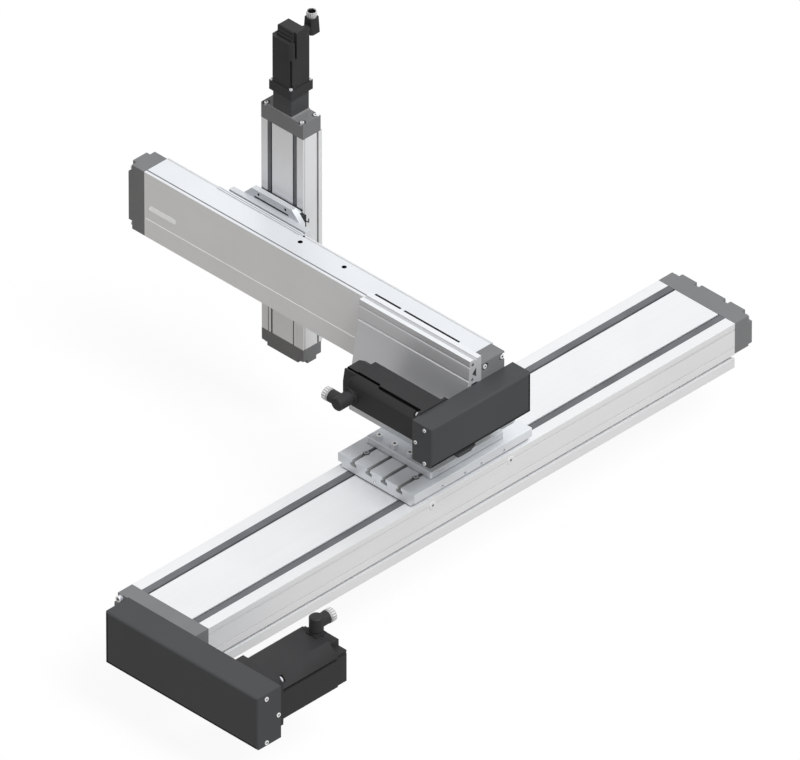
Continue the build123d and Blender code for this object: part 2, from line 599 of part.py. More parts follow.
def reference_switch():
    """Small switch with a bent lever, on the side of the Z carriage."""
    y1 = Z_CENTRE_Y - Z_W / 2
    x0 = Z_BASE_X - Z.table_z[2] + 1.5
    body = box(x0, x0 + 9, y1 - 12, y1, 340, 366)
    lever = box(x0 + 3.5, x0 + 5.5, y1 - 22, y1 - 11.5, 356, 357.2)
    tip = box(x0 + 3.5, x0 + 5.5, y1 - 23, y1 - 21.8, 356, 365)
    return body + lever + tip


# Z module drive: boss, mount block and coupling


def z_head():
    """Top head: raised outside except at its corner screws, with a low step under the mount."""
    x0 = -Z_L / 2 - Z.head_t
    raised = box(x0 - Z_RAISED, x0 + 0.5, -Z_W / 2, Z_W / 2, *Z.head_z)
    for y in (-Z_W / 2 + Z_SIDE, Z_W / 2 - Z_SIDE):
        for z in (Z.head_z[0] + Z_EDGE, Z.head_z[1] - Z_EDGE):
            raised = raised - rod(7.5, x0 - Z_RAISED - 1, x0, y, z)
    step = box(x0 - Z_BOSS_T, x0 - Z_RAISED + 0.5, -27.2, 27.2, Z.axis_z - 23, Z.axis_z + 23)
    head = drive_head(Z, Z.journal_r + 2) + raised + step
    return head - rod(12, x0 - 20, x0 + 6, 0, Z.axis_z)


def z_mount():
    """Hollow block between the top head and the motor, around the coupling."""
    x0 = Z_BASE_X - Z.axis_z
    z0 = Z_MOUNT_Z0 + Z_BOSS_T
    z1 = Z_MOUNT_Z0 + Z_MOUNT_T
    block = box(x0 - 23, x0 + 23, Z_CENTRE_Y - 24.2, Z_CENTRE_Y + 24.2, z0, z1)
    return block - post(16.5, z0 - 1, z1 + 1, x0, Z_CENTRE_Y)


def z_coupling():
    """Jaw coupling between the screw journal and the motor shaft."""
    x0 = Z_BASE_X - Z.axis_z
    z0 = Z_MOUNT_Z0 + 12
    hub = post(15, z0, z0 + 34, x0, Z_CENTRE_Y)
    hub = hub - Pos(x0, Z_CENTRE_Y, z0 + 17) * (post(15.5, -1, 1) - post(11, -2, 2))
    hub = hub - post(Z.journal_r, z0 - 1, z0 + 15, x0, Z_CENTRE_Y)
    return hub - post(Z_MOTOR.shaft_r, z0 + 19, z0 + 35, x0, Z_CENTRE_Y)


def tool_holes(shape):
    """Four tapped holes for the tool in the lower end face of the Z module."""
    z = Z_CENTRE_Z - Z_L / 2 - Z.cap_t - Z.pad_t
    for x in (Z_BASE_X - 42, Z_BASE_X - 12):
        for y in (Z_CENTRE_Y - 36.7, Z_CENTRE_Y + 36.7):
            shape = shape - post(2.5, z - 1, z + 14, x, y)
    return shape


def access_plugs():
    """Two round plugs in the side of the X profile, each with a recess."""
    made = []
    for x in (-107, 98):
        plug = Cylinder(7, 5) - Pos(0, 0, 1.5) * Cylinder(3.4, 3)
        made.append(Pos(x, -X_W / 2 + 1.5, X.vee_z) * Rot(90, 0, 0) * plug)
    return made


# Whole assemblies


def x_head():
    """Driven end block; beside the belt housing it is raised as the end cap is."""
    x0 = -X_L / 2 - X.head_t
    y0 = -X_DRIVE.a0 + HEAD_GAP
    step = box(x0 - 3, x0 + 1, y0, X_W / 2, 0, X_H)
    raised = box(x0 - 3 - X.pad_t, x0 - 2, y0, X_W / 2, 16, X.pad_z[1])
    return drive_head(X, X.journal_r + 3) + step + raised


def y_head():
    """Driven end block of the beam, with an open pocket round each corner screw."""
    x0 = -Y_L / 2 - Y.head_t
    head = drive_head(Y, Y.journal_r + 3)
    for z in Y_HEAD_ROWS:
        for y in (-Y_HEAD_UP, Y_HEAD_UP):
            head = head - rod(8, x0 - 1, x0 + 5, y, z)
    return head


def tension_boss():
    """Low boss under the Y belt housing."""
    z = Y_CENTRE_Z - Y_DRIVE.b1 + 0.5
    x0 = Y.axis_z - Y_DRIVE.pitch + 16
    y0 = Y_START_Y - Y.head_t - Y_DRIVE.depth
    outline = Polyline((x0, z), (x0, z - 10), (x0 + 33, z - 10), (x0 + 45, z - 2.5), (x0 + 45, z),
                       close=True)
    face = Plane(origin=(0, y0 + 34, 0), x_dir=(1, 0, 0), z_dir=(0, -1, 0)).location
    return face * extrude(make_face(outline), 34)


def build_x():
    body = profile(X)
    for x in (-107, 98):
        body = body - Pos(x, -X_W / 2, X.vee_z) * Rot(90, 0, 0) * Cylinder(7, 8)
    save("x_profile", X_AT * body)
    save("x_guide_rails", rails(X))
    save("x_cover_plate", cover_plate(X))
    save("x_seal_strips", seal_strips(X))
    save("x_drive_head", screw_holes(x_head(), X_SCREW_SETS, "x_drive_head"))
    save("x_end_cap", screw_holes(end_cap(X), X_SCREW_SETS, "x_end_cap"))
    save("x_screw_bearings", bearings(X))
    save("x_belt_housing", screw_holes(X_DRIVE_AT * belt_housing(X_DRIVE, X.journal_r),
                                       X_SCREW_SETS, "x_belt_cover"))
    covers = [screw_holes(X_DRIVE_AT * c, X_SCREW_SETS, "x_belt_cover") for c in belt_covers(X_DRIVE)]
    save("x_belt_cover", covers)
    save("x_timing_belt", X_DRIVE_AT * timing_belt(X_DRIVE))
    save("x_motor", screw_holes(X_MOTOR_AT * motor(X_MOTOR), X_SCREW_SETS, "x_motor"))
    save("x_motor_connector", X_MOTOR_AT * connector(X_MOTOR))
    save("x_screws_and_plugs", [screw_solid(e) for e in X_SCREW_SETS] + access_plugs())


def build_x_drive():
    drive_end = -X_L / 2 - X.head_t - X_DRIVE.depth + X_DRIVE.wall + 4
    save("x_ball_screw", ball_screw(X, drive_end))
    save("x_driven_pulley", X_DRIVE_AT * pulley(X_DRIVE, X.journal_r, 0))
    save("x_motor_shaft", X_MOTOR_AT * motor_shaft(X_MOTOR, X_DRIVE.depth - X_DRIVE.wall - 4))
    save("x_drive_pulley", X_DRIVE_AT * pulley(X_DRIVE, X_MOTOR.shaft_r, X_DRIVE.pitch))


def build_x_carriage():
    table = carriage_outer(X) - table_slots(X, TABLE_ROWS, 8.0) - flange_holes(X, TABLE_HOLES, 3.2)
    save("x_carriage", screw_holes(table + carriage_inner(X), CARRIED_SCREW_SETS, "adapter_plate"))
    save("x_runner_blocks", runner_blocks(X))
    save("x_ball_nut", ball_nut(X))
    save("adapter_plate", screw_holes(adapter_plate(), CARRIED_SCREW_SETS, "adapter_plate"))
    save("angle_bracket", angle_bracket())


def y_profile_body():
    """Beam profile with the open lengths of its switch slot, its oil holes and a fine line."""
    body = Y_AT * profile(Y)
    top = Y_CENTRE_Z + Y_W / 2
    for y0, y1 in ((197, 264), (44, 188)):
        body = body - box(18.4, 22.4, Y_START_Y + y0, Y_START_Y + y1, top - 6, top + 1)
    for x, y, r in ((43.4, 367, 5.0), (43.4, 482.5, 5.0), (61.5, 491, 2.2)):
        body = body - post(r, top - 8, top + 1, x, Y_START_Y + y)
    return body - box(-1, 0.8, Y_CENTRE_Y - Y_L, Y_CENTRE_Y + Y_L, 257.0, 258.6)


def build_y():
    save("y_profile", y_profile_body())
    save("y_guide_rails", [Y_AT * s for s in rails(Y)])
    save("y_cover_plate", Y_AT * cover_plate(Y))
    save("y_seal_strips", [Y_AT * s for s in seal_strips(Y)])
    head = Y_AT * y_head()
    save("y_drive_head", screw_holes(head, CARRIED_SCREW_SETS, "y_drive_head"))
    save("y_end_cap", screw_holes(Y_AT * end_cap(Y), CARRIED_SCREW_SETS, "y_end_cap"))
    save("y_screw_bearings", [Y_AT * s for s in bearings(Y)])
    housing = Y_DRIVE_AT * belt_housing(Y_DRIVE, Y.journal_r) + tension_boss()
    save("y_belt_housing", screw_holes(housing, CARRIED_SCREW_SETS, "y_belt_cover"))
    covers = [screw_holes(Y_DRIVE_AT * c, CARRIED_SCREW_SETS, "y_belt_cover") for c in belt_covers(Y_DRIVE)]
    save("y_belt_cover", covers)
    save("y_timing_belt", Y_DRIVE_AT * timing_belt(Y_DRIVE))
    save("y_motor", screw_holes(Y_MOTOR_AT * motor(Y_MOTOR), CARRIED_SCREW_SETS, "y_motor"))
    save("y_motor_connector", Y_MOTOR_AT * connector(Y_MOTOR))
    save("carried_cap_screws", [screw_solid(e) for e in CARRIED_SCREW_SETS])


def build_y_drive():
    drive_end = -Y_L / 2 - Y.head_t - Y_DRIVE.depth + Y_DRIVE.wall + 4
    save("y_ball_screw", Y_AT * ball_screw(Y, drive_end))
    save("y_driven_pulley", Y_DRIVE_AT * pulley(Y_DRIVE, Y.journal_r, 0))
    save("y_motor_shaft", Y_MOTOR_AT * motor_shaft(Y_MOTOR, Y_DRIVE.depth - Y_DRIVE.wall - 4))
    save("y_drive_pulley", Y_DRIVE_AT * pulley(Y_DRIVE, Y_MOTOR.shaft_r, Y_DRIVE.pitch))


def build_y_carriage():
    at = Y_AT * Pos(Z_CENTRE_Y - Y_CENTRE_Y, 0, 0)
    save("y_carriage", at * (carriage_outer(Y) + carriage_inner(Y)))
    save("y_runner_blocks", [at * s for s in runner_blocks(Y)])
    save("y_ball_nut", at * ball_nut(Y))
    save("cross_plate", cross_plate())
    save("z_carriage", Z_AT * (carriage_outer(Z) + carriage_inner(Z)))
    save("z_runner_blocks", [Z_AT * s for s in runner_blocks(Z)])
    save("z_ball_nut", Z_AT * ball_nut(Z))
    save("reference_switch", reference_switch())


def build_z():
    save("z_profile", Z_AT * profile(Z))
    save("z_guide_rails", [Z_AT * s for s in rails(Z)])
    save("z_cover_plate", Z_AT * cover_plate(Z))
    save("z_seal_strips", [Z_AT * s for s in seal_strips(Z)])
    save("z_drive_head", screw_holes(Z_AT * z_head(), Z_SCREW_SETS, "z_drive_head"))
    save("z_end_cap", screw_holes(tool_holes(Z_AT * end_cap(Z)), Z_SCREW_SETS, "z_end_cap"))
    save("z_screw_bearings", [Z_AT * s for s in bearings(Z)])
    save("z_motor_mount", z_mount())
    save("z_motor", screw_holes(Z_MOTOR_AT * motor(Z_MOTOR), Z_SCREW_SETS, "z_motor"))
    save("z_motor_connector", Z_MOTOR_AT * connector(Z_MOTOR))
    save("z_cap_screws", [screw_solid(e) for e in Z_SCREW_SETS])
    save("z_ball_screw", Z_AT * ball_screw(Z, -Z_L / 2 - Z.head_t - 26))
    save("z_coupling", z_coupling())


os.makedirs("parts", exist_ok=True)
register_x_screws()
register_carried_screws()
register_z_screws()
build_x()
build_x_drive()
build_x_carriage()
build_y()
build_y_drive()
build_y_carriage()
build_z()
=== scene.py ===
import bpy
import bmesh
import json
import math
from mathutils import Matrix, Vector

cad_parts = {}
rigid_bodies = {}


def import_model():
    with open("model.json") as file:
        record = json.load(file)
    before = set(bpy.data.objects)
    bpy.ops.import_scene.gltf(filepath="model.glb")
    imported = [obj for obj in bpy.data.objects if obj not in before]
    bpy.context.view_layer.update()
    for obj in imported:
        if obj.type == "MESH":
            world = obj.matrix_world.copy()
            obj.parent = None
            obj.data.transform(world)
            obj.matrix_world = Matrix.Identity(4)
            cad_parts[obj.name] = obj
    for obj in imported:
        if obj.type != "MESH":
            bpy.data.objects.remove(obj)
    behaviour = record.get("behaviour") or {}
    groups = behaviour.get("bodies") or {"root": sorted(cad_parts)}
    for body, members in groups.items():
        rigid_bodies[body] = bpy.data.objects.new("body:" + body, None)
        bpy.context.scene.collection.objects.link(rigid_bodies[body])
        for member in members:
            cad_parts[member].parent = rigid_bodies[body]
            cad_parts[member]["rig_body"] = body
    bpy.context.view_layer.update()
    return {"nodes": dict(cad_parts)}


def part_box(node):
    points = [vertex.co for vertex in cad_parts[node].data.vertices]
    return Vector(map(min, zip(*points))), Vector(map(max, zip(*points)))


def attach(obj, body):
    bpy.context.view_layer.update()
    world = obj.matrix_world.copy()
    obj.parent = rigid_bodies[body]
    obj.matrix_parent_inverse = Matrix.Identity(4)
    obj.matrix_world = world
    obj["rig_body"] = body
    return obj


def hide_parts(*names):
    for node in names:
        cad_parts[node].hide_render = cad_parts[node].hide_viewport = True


for old in list(bpy.data.objects):
    bpy.data.objects.remove(old)
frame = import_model()

# Camera: the photograph is a parallel isometric view, so a very long lens stands far back
# along the same line of sight, 45 degrees to the left and 35 degrees above the horizon.
SIGHT_AZIMUTH = math.radians(-45.11)
SIGHT_HEIGHT = math.radians(35.035)
PICTURE_WIDTH = 1.4843
LENS_MM = 1600.0
SENSOR_MM = 36.0
AIM = Vector((0.0421, 0.1337, 0.1785))
back = Vector((math.sin(SIGHT_AZIMUTH) * math.cos(SIGHT_HEIGHT),
               -math.cos(SIGHT_AZIMUTH) * math.cos(SIGHT_HEIGHT), math.sin(SIGHT_HEIGHT)))
camera = bpy.data.objects.new("camera", bpy.data.cameras.new("camera"))
bpy.context.scene.collection.objects.link(camera)
camera.data.lens = LENS_MM
camera.data.sensor_width = SENSOR_MM
camera.data.clip_start = 1.0
camera.data.clip_end = 400.0
camera.location = AIM + back * (PICTURE_WIDTH * LENS_MM / SENSOR_MM)
camera.rotation_mode = "QUATERNION"
camera.rotation_quaternion = (-back).to_track_quat("-Z", "Y")
bpy.context.scene.camera = camera
bpy.context.scene.view_settings.view_transform = "Standard"

# Studio light: an even grey room and one broad lamp high on the right. Tops come out as
# written, right-hand faces at about seven tenths and left-hand faces at half of that.
ROOM_LEVEL = 0.43
ROOM_TINT = (1.0, 0.992, 0.975, 1)
WHITE = (1.0, 1.0, 1.0, 1)
SUN_TOWARDS = Vector((-0.08, -0.560, 0.825))
SUN_LEVEL = 2.46
SUN_TINT = (0.950, 0.975, 1.0)
SUN_SPREAD = math.radians(24)


def added(nodes, kind, inputs=None, **settings):
    """A new node: its settings are made first, and then the values of its inputs."""
    node = nodes.new(kind)
    for label, value in settings.items():
        setattr(node, label, value)
    for label, value in (inputs or {}).items():
        node.inputs[label].default_value = value
    return node


world = bpy.data.worlds.new("studio")
bpy.context.scene.world = world
world.use_nodes = True
wn, wl = world.node_tree.nodes, world.node_tree.links
wn.clear()
rays = wn.new("ShaderNodeLightPath")
seen = added(wn, "ShaderNodeMath", operation="MAXIMUM")
wl.new(rays.outputs["Is Camera Ray"], seen.inputs[0])
wl.new(rays.outputs["Is Glossy Ray"], seen.inputs[1])
level = added(wn, "ShaderNodeMapRange", {"To Min": ROOM_LEVEL, "To Max": 1.0})
wl.new(seen.outputs[0], level.inputs["Value"])
tinted = added(wn, "ShaderNodeMix", {"A": ROOM_TINT, "B": WHITE}, data_type="RGBA")
wl.new(seen.outputs[0], tinted.inputs["Factor"])
room = wn.new("ShaderNodeBackground")
wl.new(tinted.outputs["Result"], room.inputs["Color"])
wl.new(level.outputs[0], room.inputs["Strength"])
wl.new(room.outputs[0], wn.new("ShaderNodeOutputWorld").inputs["Surface"])
lamp = bpy.data.objects.new("lamp", bpy.data.lights.new("lamp", "SUN"))
bpy.context.scene.collection.objects.link(lamp)
lamp.data.energy = SUN_LEVEL
lamp.data.color = SUN_TINT
lamp.data.angle = SUN_SPREAD
lamp.rotation_mode = "QUATERNION"
lamp.rotation_quaternion = SUN_TOWARDS.to_track_quat("Z", "Y")

# Floor: a wide pale sheet well below the unit, which is held up by its mounting face.
# It shows almost white to the camera and keeps a faint shadow.
FLOOR_Z = -0.15
FLOOR_HALF = 40.0
FLOOR_COLOUR = (0.395, 0.365, 0.325, 1)
FLOOR_IN_MIRRORS = (0.58, 0.58, 0.58, 1)
GLOW_SHARE = 0.92
floor_mesh = bpy.data.meshes.new("floor")
floor_mesh.from_pydata([(x * FLOOR_HALF, y * FLOOR_HALF, FLOOR_Z)
                        for x, y in ((-1, -1), (1, -1), (1, 1), (-1, 1))], [], [(0, 1, 2, 3)])
floor = bpy.data.objects.new("floor", floor_mesh)
bpy.context.scene.collection.objects.link(floor)
paper = bpy.data.materials.new("pale_floor")
paper.use_nodes = True
pn, pl = paper.node_tree.nodes, paper.node_tree.links
pn.clear()
paper_rays = pn.new("ShaderNodeLightPath")
sheet = added(pn, "ShaderNodeBsdfDiffuse", {"Color": FLOOR_COLOUR})
lit = added(pn, "ShaderNodeBsdfDiffuse", {"Color": WHITE})
glow = pn.new("ShaderNodeEmission")
for_camera = pn.new("ShaderNodeMixShader")
for_camera.inputs[0].default_value = GLOW_SHARE
for_mirrors = added(pn, "ShaderNodeEmission", {"Color": FLOOR_IN_MIRRORS})
mirror_mix = pn.new("ShaderNodeMixShader")
paper_mix = pn.new("ShaderNodeMixShader")
for mix, share, first, second in ((for_camera, None, lit, glow),
                                  (mirror_mix, "Is Glossy Ray", sheet, for_mirrors),
                                  (paper_mix, "Is Camera Ray", mirror_mix, for_camera)):
    if share:
        pl.new(paper_rays.outputs[share], mix.inputs[0])
    pl.new(first.outputs[0], mix.inputs[1])
    pl.new(second.outputs[0], mix.inputs[2])
pl.new(paper_mix.outputs[0], pn.new("ShaderNodeOutputMaterial").inputs["Surface"])
floor_mesh.materials.append(paper)

# Module profiles: extruded aluminium, natural anodised. The press leaves very fine lines
# along each length, and the anodising varies faintly from place to place. The faces of the
# grooves and slots are a darker copy of that colour, painted shade, and the edges are broken
# by a small round.
PROFILE_COLOUR = (0.865, 0.87, 0.88, 1)
# grooves and slots of the profiles: a darker copy of their colour, painted shade
GROOVE_SHADE_COLOUR = (0.64, 0.64, 0.64, 1)
# the groove along the front of the beam's top, darker still: painted shade
DEEP_GROOVE_SHADE_COLOUR = (0.36, 0.36, 0.38, 1)
# near-white for the shallow line along the beam's front: painted highlight
BEAM_HIGHLIGHT_COLOUR = (1.0, 1.0, 0.99, 1)
# the beam's up-facing faces: a darker, bluer copy of its colour, painted shade
BEAM_TOP_SHADE_COLOUR = (0.825, 0.842, 0.868, 1)
# near-black for the beam's slot strips and the walls of its openings: painted shade
SLOT_SHADE_COLOUR = (0.010, 0.010, 0.011, 1)
FINE_LINES = 900.0         # repeats of the pattern in a metre, across the lines and along them
LONG_LINES = 4.0
CLOUDS = 7.0
MERGE_DISTANCE = 2e-6
ON_BOX = 1e-5
FLAT_ANGLE = 0.004
# how far a rounded box edge must face down to be painted dark: painted shade
DOWNWARD = -0.2
EDGE_ANGLE = math.radians(58)
SHARP_ANGLE = math.radians(38)
SKIN_DEPTH = 0.00005       # a face nearer the profile's box than this is an outer one
X_SLOT_TOP = 0.030         # below this the long module's slots keep the skin's colour, without the painted shade
BEAM_LINE_DEPTH = 0.001
BEAM_SLOT_DEPTH = 0.0085
BEAM_V_END = 0.009
# openings in the beam's top, whose walls are painted near-black, painted shade: x and y
# limits of its switch slots and oil holes
BEAM_OPENINGS = ((0.0180, 0.0228, -0.043, 0.179), (0.0374, 0.0494, 0.275, 0.287),
                 (0.0374, 0.0494, 0.3905, 0.4025), (0.0590, 0.0640, 0.4025, 0.4075))


def surfaced(made, colour, tint, pattern, rough, relief):
    """Join a material up: its colour times a tint, and roughness and relief from a pattern."""
    nodes, links = made.node_tree.nodes, made.node_tree.links
    shader = nodes["Principled BSDF"]
    paint = added(nodes, "ShaderNodeMix", {"Factor": 1.0, "A": colour},
                  data_type="RGBA", blend_type="MULTIPLY")
    links.new(tint.outputs[0], paint.inputs["B"])
    links.new(paint.outputs["Result"], shader.inputs["Base Color"])
    roughness = added(nodes, "ShaderNodeMapRange", rough)
    links.new(pattern.outputs["Fac"], roughness.inputs["Value"])
    links.new(roughness.outputs[0], shader.inputs["Roughness"])
    bump = added(nodes, "ShaderNodeBump", relief)
    links.new(pattern.outputs["Fac"], bump.inputs["Height"])
    links.new(bump.outputs[0], shader.inputs["Normal"])
    return made


def drawn_metal(name, colour, along, roughness, metallic, streak=0.05, grain=0.00006, gloss=0.5):
    """Metal with fine lines along one axis (0, 1 or 2), or an even grain for -1."""
    made = bpy.data.materials.new(name)
    made.use_nodes = True
    nodes, links = made.node_tree.nodes, made.node_tree.links
    shader = nodes["Principled BSDF"]
    shader.inputs["Metallic"].default_value = metallic
    shader.inputs["Specular IOR Level"].default_value = gloss
    where = nodes.new("ShaderNodeTexCoord")
    lines_map = added(nodes, "ShaderNodeMapping",
                      {"Scale": [LONG_LINES if k == along else FINE_LINES for k in range(3)]})
    links.new(where.outputs["Object"], lines_map.inputs["Vector"])
    lines = added(nodes, "ShaderNodeTexNoise", {"Scale": 1.0, "Detail": 3.0})
    links.new(lines_map.outputs[0], lines.inputs["Vector"])
    clouds = added(nodes, "ShaderNodeTexNoise", {"Scale": CLOUDS, "Detail": 2.0})
    links.new(where.outputs["Object"], clouds.inputs["Vector"])
    both = added(nodes, "ShaderNodeMath", operation="ADD")
    links.new(lines.outputs["Fac"], both.inputs[0])
    links.new(clouds.outputs["Fac"], both.inputs[1])
    tint = added(nodes, "ShaderNodeMapRange", {"From Min": 0.6, "From Max": 1.4,
                                               "To Min": 1.0 - streak, "To Max": 1.0 + streak * 0.4})
    links.new(both.outputs[0], tint.inputs["Value"])
    return surfaced(made, colour, tint, lines,
                    {"From Min": 0.3, "From Max": 0.7,
                     "To Min": roughness - 0.05, "To Max": roughness + 0.07},
                    {"Strength": 0.35, "Distance": grain})


def eased(node, width, materials, finish_of=None, cutters=(), edge=-1):
    """A copy of a CAD piece with its edges broken by a small round, as machining leaves them.

    finish_of gives the number of the material of a face from its centre and normal. With an
    edge of 0 or more, only the edges of the piece's box are rounded, in that material.
    """
    source = frame["nodes"][node]
    shape = bmesh.new()
    shape.from_mesh(source.data)
    bmesh.ops.remove_doubles(shape, verts=shape.verts, dist=MERGE_DISTANCE)
    bmesh.ops.dissolve_limit(shape, angle_limit=FLAT_ANGLE, verts=shape.verts, edges=shape.edges)
    for face in shape.faces:
        face.material_index = finish_of(face.calc_center_median(), face.normal) if finish_of else 0
    if edge >= 0:
        low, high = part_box(node)
        marks = shape.edges.layers.float.new("bevel_weight_edge")
        for line in shape.edges:
            ends = [sum(min(abs(v.co[k] - low[k]), abs(v.co[k] - high[k])) < ON_BOX for k in range(3))
                    for v in line.verts]
            line[marks] = 1.0 if min(ends) > 1 else 0.0
    mesh = bpy.data.meshes.new(node + "_eased")
    shape.to_mesh(mesh)
    shape.free()
    piece = finished(node + "_eased", mesh, materials, source["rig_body"], width, cutters, edge)
    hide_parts(node)
    return piece


def finished(name, mesh, materials, body, width, cutters=(), edge=-1):
    """Make a mesh a piece: cut it, round its edges, keep its flat faces flat, and mount it."""
    for face in mesh.polygons:
        face.use_smooth = True
    for material in materials:
        mesh.materials.append(material)
    piece = bpy.data.objects.new(name, mesh)
    bpy.context.scene.collection.objects.link(piece)
    for cutter in cutters:
        tool = bpy.data.objects.new("cutter", cutter)
        bpy.context.scene.collection.objects.link(tool)
        cut = piece.modifiers.new("cut", "BOOLEAN")
        cut.operation = "DIFFERENCE"
        cut.solver = "EXACT"
        cut.object = tool
        settle(piece)
        bpy.data.objects.remove(tool)
    if width:
        rounding = piece.modifiers.new("rounding", "BEVEL")
        rounding.width = width
        rounding.segments = 2
        rounding.limit_method = "ANGLE" if edge < 0 else "WEIGHT"
        rounding.angle_limit = EDGE_ANGLE
        rounding.material = edge
        settle(piece)
        # the rounded box edges that face down take the next material: painted shade
        if edge >= 0:
            for face in piece.data.polygons:
                if face.material_index == edge and face.normal[2] < DOWNWARD:
                    face.material_index = edge + 1
    piece.data.set_sharp_from_angle(angle=SHARP_ANGLE)
    flat = piece.modifiers.new("flat_faces", "WEIGHTED_NORMAL")
    flat.keep_sharp = True
    settle(piece)
    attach(piece, body)
    return piece


def settle(piece):
    """Turn a piece with modifiers into a plain mesh."""
    seen_as = piece.evaluated_get(bpy.context.evaluated_depsgraph_get())
    plain = bpy.data.meshes.new_from_object(seen_as)
    piece.modifiers.clear()
    piece.data = plain


def extruded(name, sections, along):
    """Straight bars: each has an outline in millimetres, and a start and an end along one axis."""
    shape = bmesh.new()
    others = [k for k in range(3) if k != along]
    for outline, start, end in sections:
        rings = []
        for place in (start, end):
            ring = []
            for a, b in outline:
                point = Vector((0, 0, 0))
                point[along], point[others[0]], point[others[1]] = place, a, b
                ring.append(shape.verts.new(point / 1000))
            rings.append(ring)
        shape.faces.new(rings[0])
        shape.faces.new(rings[1][::-1])
        for i in range(len(outline)):
            j = (i + 1) % len(outline)
            shape.faces.new((rings[0][j], rings[0][i], rings[1][i], rings[1][j]))
    bmesh.ops.recalc_face_normals(shape, faces=shape.faces)
    mesh = bpy.data.meshes.new(name)
    shape.to_mesh(mesh)
    shape.free()
    return mesh


def oblong(a0, b0, a1, b1):
    """A rectangle's corners, from two opposite ones."""
    return (a0, b0), (a1, b0), (a1, b1), (a0, b1)


def disc(a, b, radius, sides):
    """The corners of a many-sided disc."""
    turns = [2 * math.pi * k / sides for k in range(sides)]
    return [(a + radius * math.cos(turn), b + radius * math.sin(turn)) for turn in turns]


def coat(node, material):
    """Give a CAD piece that keeps its own mesh a material."""
    for place in frame["nodes"][node].material_slots:
        place.material = material


profile_metal = {axis: drawn_metal("anodised_along_" + axis, PROFILE_COLOUR, along,
                                   roughness=0.36, metallic=0.20, gloss=0.4)
                 for along, axis in enumerate("xyz")}
# painted shade in the profiles' grooves and slots, and on the sides of the plugs
groove_shade_metal = drawn_metal("groove_painted_shade", GROOVE_SHADE_COLOUR, -1,
                           roughness=0.5, metallic=0.0, streak=0.08, gloss=0.2)
# painted shade: near-black strips in the slot and on the walls of the openings
slot_shade_strip = drawn_metal("slot_shade_strip", SLOT_SHADE_COLOUR, -1,
                           roughness=0.6, metallic=0.0, streak=0.2, gloss=0.1)
# painted highlight along the beam's front
beam_painted_highlight = drawn_metal("beam_painted_highlight", BEAM_HIGHLIGHT_COLOUR, 1,
                          roughness=0.4, metallic=0.9, streak=0.0)
# painted shade in the groove along the front of the beam's top
beam_front_groove_shade = drawn_metal("beam_front_groove_shade", DEEP_GROOVE_SHADE_COLOUR, -1,
                          roughness=0.5, metallic=0.0, streak=0.08, gloss=0.2)
# painted shade on the beam's up-facing faces
beam_top_shade = drawn_metal("beam_top_shade", BEAM_TOP_SHADE_COLOUR, 1, roughness=0.36, metallic=0.20, gloss=0.4)
OUTER, GROOVE, OPENING, LINE, DEEP, TOP = range(6)
for axis, across in (("x", (1, 2)), ("y", (2, 0)), ("z", (1, 0))):
    low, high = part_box(axis + "_profile")

    def profile_finish(centre, normal, axis=axis, low=low, high=high, across=across):
        depth = min(min(centre[k] - low[k], high[k] - centre[k]) for k in across)
        if depth < SKIN_DEPTH or (axis == "x" and centre[2] < X_SLOT_TOP):
            # the beam's up-facing faces take their own darker copy: painted shade
            return TOP if axis == "y" and normal[2] > 0.9 else OUTER
        # the shallow line along the beam's front: painted highlight
        if axis == "y" and centre[0] < BEAM_LINE_DEPTH:
            return LINE
        if axis == "y" and centre[2] > high[2] - BEAM_SLOT_DEPTH:
            # walls of the beam's switch slots and oil holes: painted near-black, painted shade
            if any(x0 < centre[0] < x1 and y0 < centre[1] < y1 for x0, x1, y0, y1 in BEAM_OPENINGS):
                return OPENING
            # the groove along the front of the beam's top: darker painted shade
            if centre[0] < BEAM_V_END:
                return DEEP
        # all other inner faces are grooves and slots: painted shade
        return GROOVE

    eased(axis + "_profile", 0.0004, [profile_metal[axis], groove_shade_metal, slot_shade_strip, beam_painted_highlight,
                                      beam_front_groove_shade, beam_top_shade], profile_finish)
    eased(axis + "_cover_plate", 0.0003, [profile_metal[axis]])

# Slot shade strips: near-black strips in the open lengths of the beam's switch slot, in
# place of the dark inside of the slot: painted shade. They stand just below the rim of the slot.
STRIP_SECTION = ((18.45, 356.2), (22.35, 356.2), (22.35, 360.6), (22.8, 360.6), (22.8, 361.02),
                 (23.9, 361.02), (23.9, 361.14), (18.0, 361.14), (18.0, 360.6), (18.45, 360.6))
STRIP_LENGTHS = ((-41.9, 101.9), (111.1, 177.9))
strips = extruded("slot_shade_strips", [(STRIP_SECTION, start, end) for start, end in STRIP_LENGTHS], 1)
finished("slot_shade_strips", strips, [slot_shade_strip], "x_slide", 0.0003)

# Data plate: a thin blank plate of anodised sheet, glued to the front of the beam near its
# free end. It carries nothing, and a small white dot sits beside its corner.
PLATE_Y = (681.0, 751.0)
PLATE_Z = (280.0, 291.0)
PLATE_ROUND = 5.0
PLATE_X = (-0.4, 0.05)
DOT_X = (-0.7, -0.4)
DOT = (750.0, 282.6, 2.4)
plate_sheet = drawn_metal("blank_plate", (1.0, 1.0, 0.99, 1), -1,
                          roughness=0.40, metallic=0.9, streak=0.0)
corners = []
for y_end, z_end, first in ((1, 1, 0), (0, 1, 90), (0, 0, 180), (1, 0, 270)):
    y = PLATE_Y[y_end] + (PLATE_ROUND, -PLATE_ROUND)[y_end]
    z = PLATE_Z[z_end] + (PLATE_ROUND, -PLATE_ROUND)[z_end]
    for step in range(5):
        turn = math.radians(first + step * 22.5)
        corners.append((y + PLATE_ROUND * math.cos(turn), z + PLATE_ROUND * math.sin(turn)))
plate = extruded("blank_data_plate", [(corners, *PLATE_X), (disc(*DOT, 16), *DOT_X)], 0)
finished("blank_data_plate", plate, [plate_sheet], "x_slide", 0.0001)

# Seal strips: black polyurethane lips beside the cover plate, pushed into the profile.
# They are matt, and dust from running gives them a slightly grey bloom.
SEAL_COLOUR = (0.145, 0.150, 0.160, 1)
PATCHES = 14.0


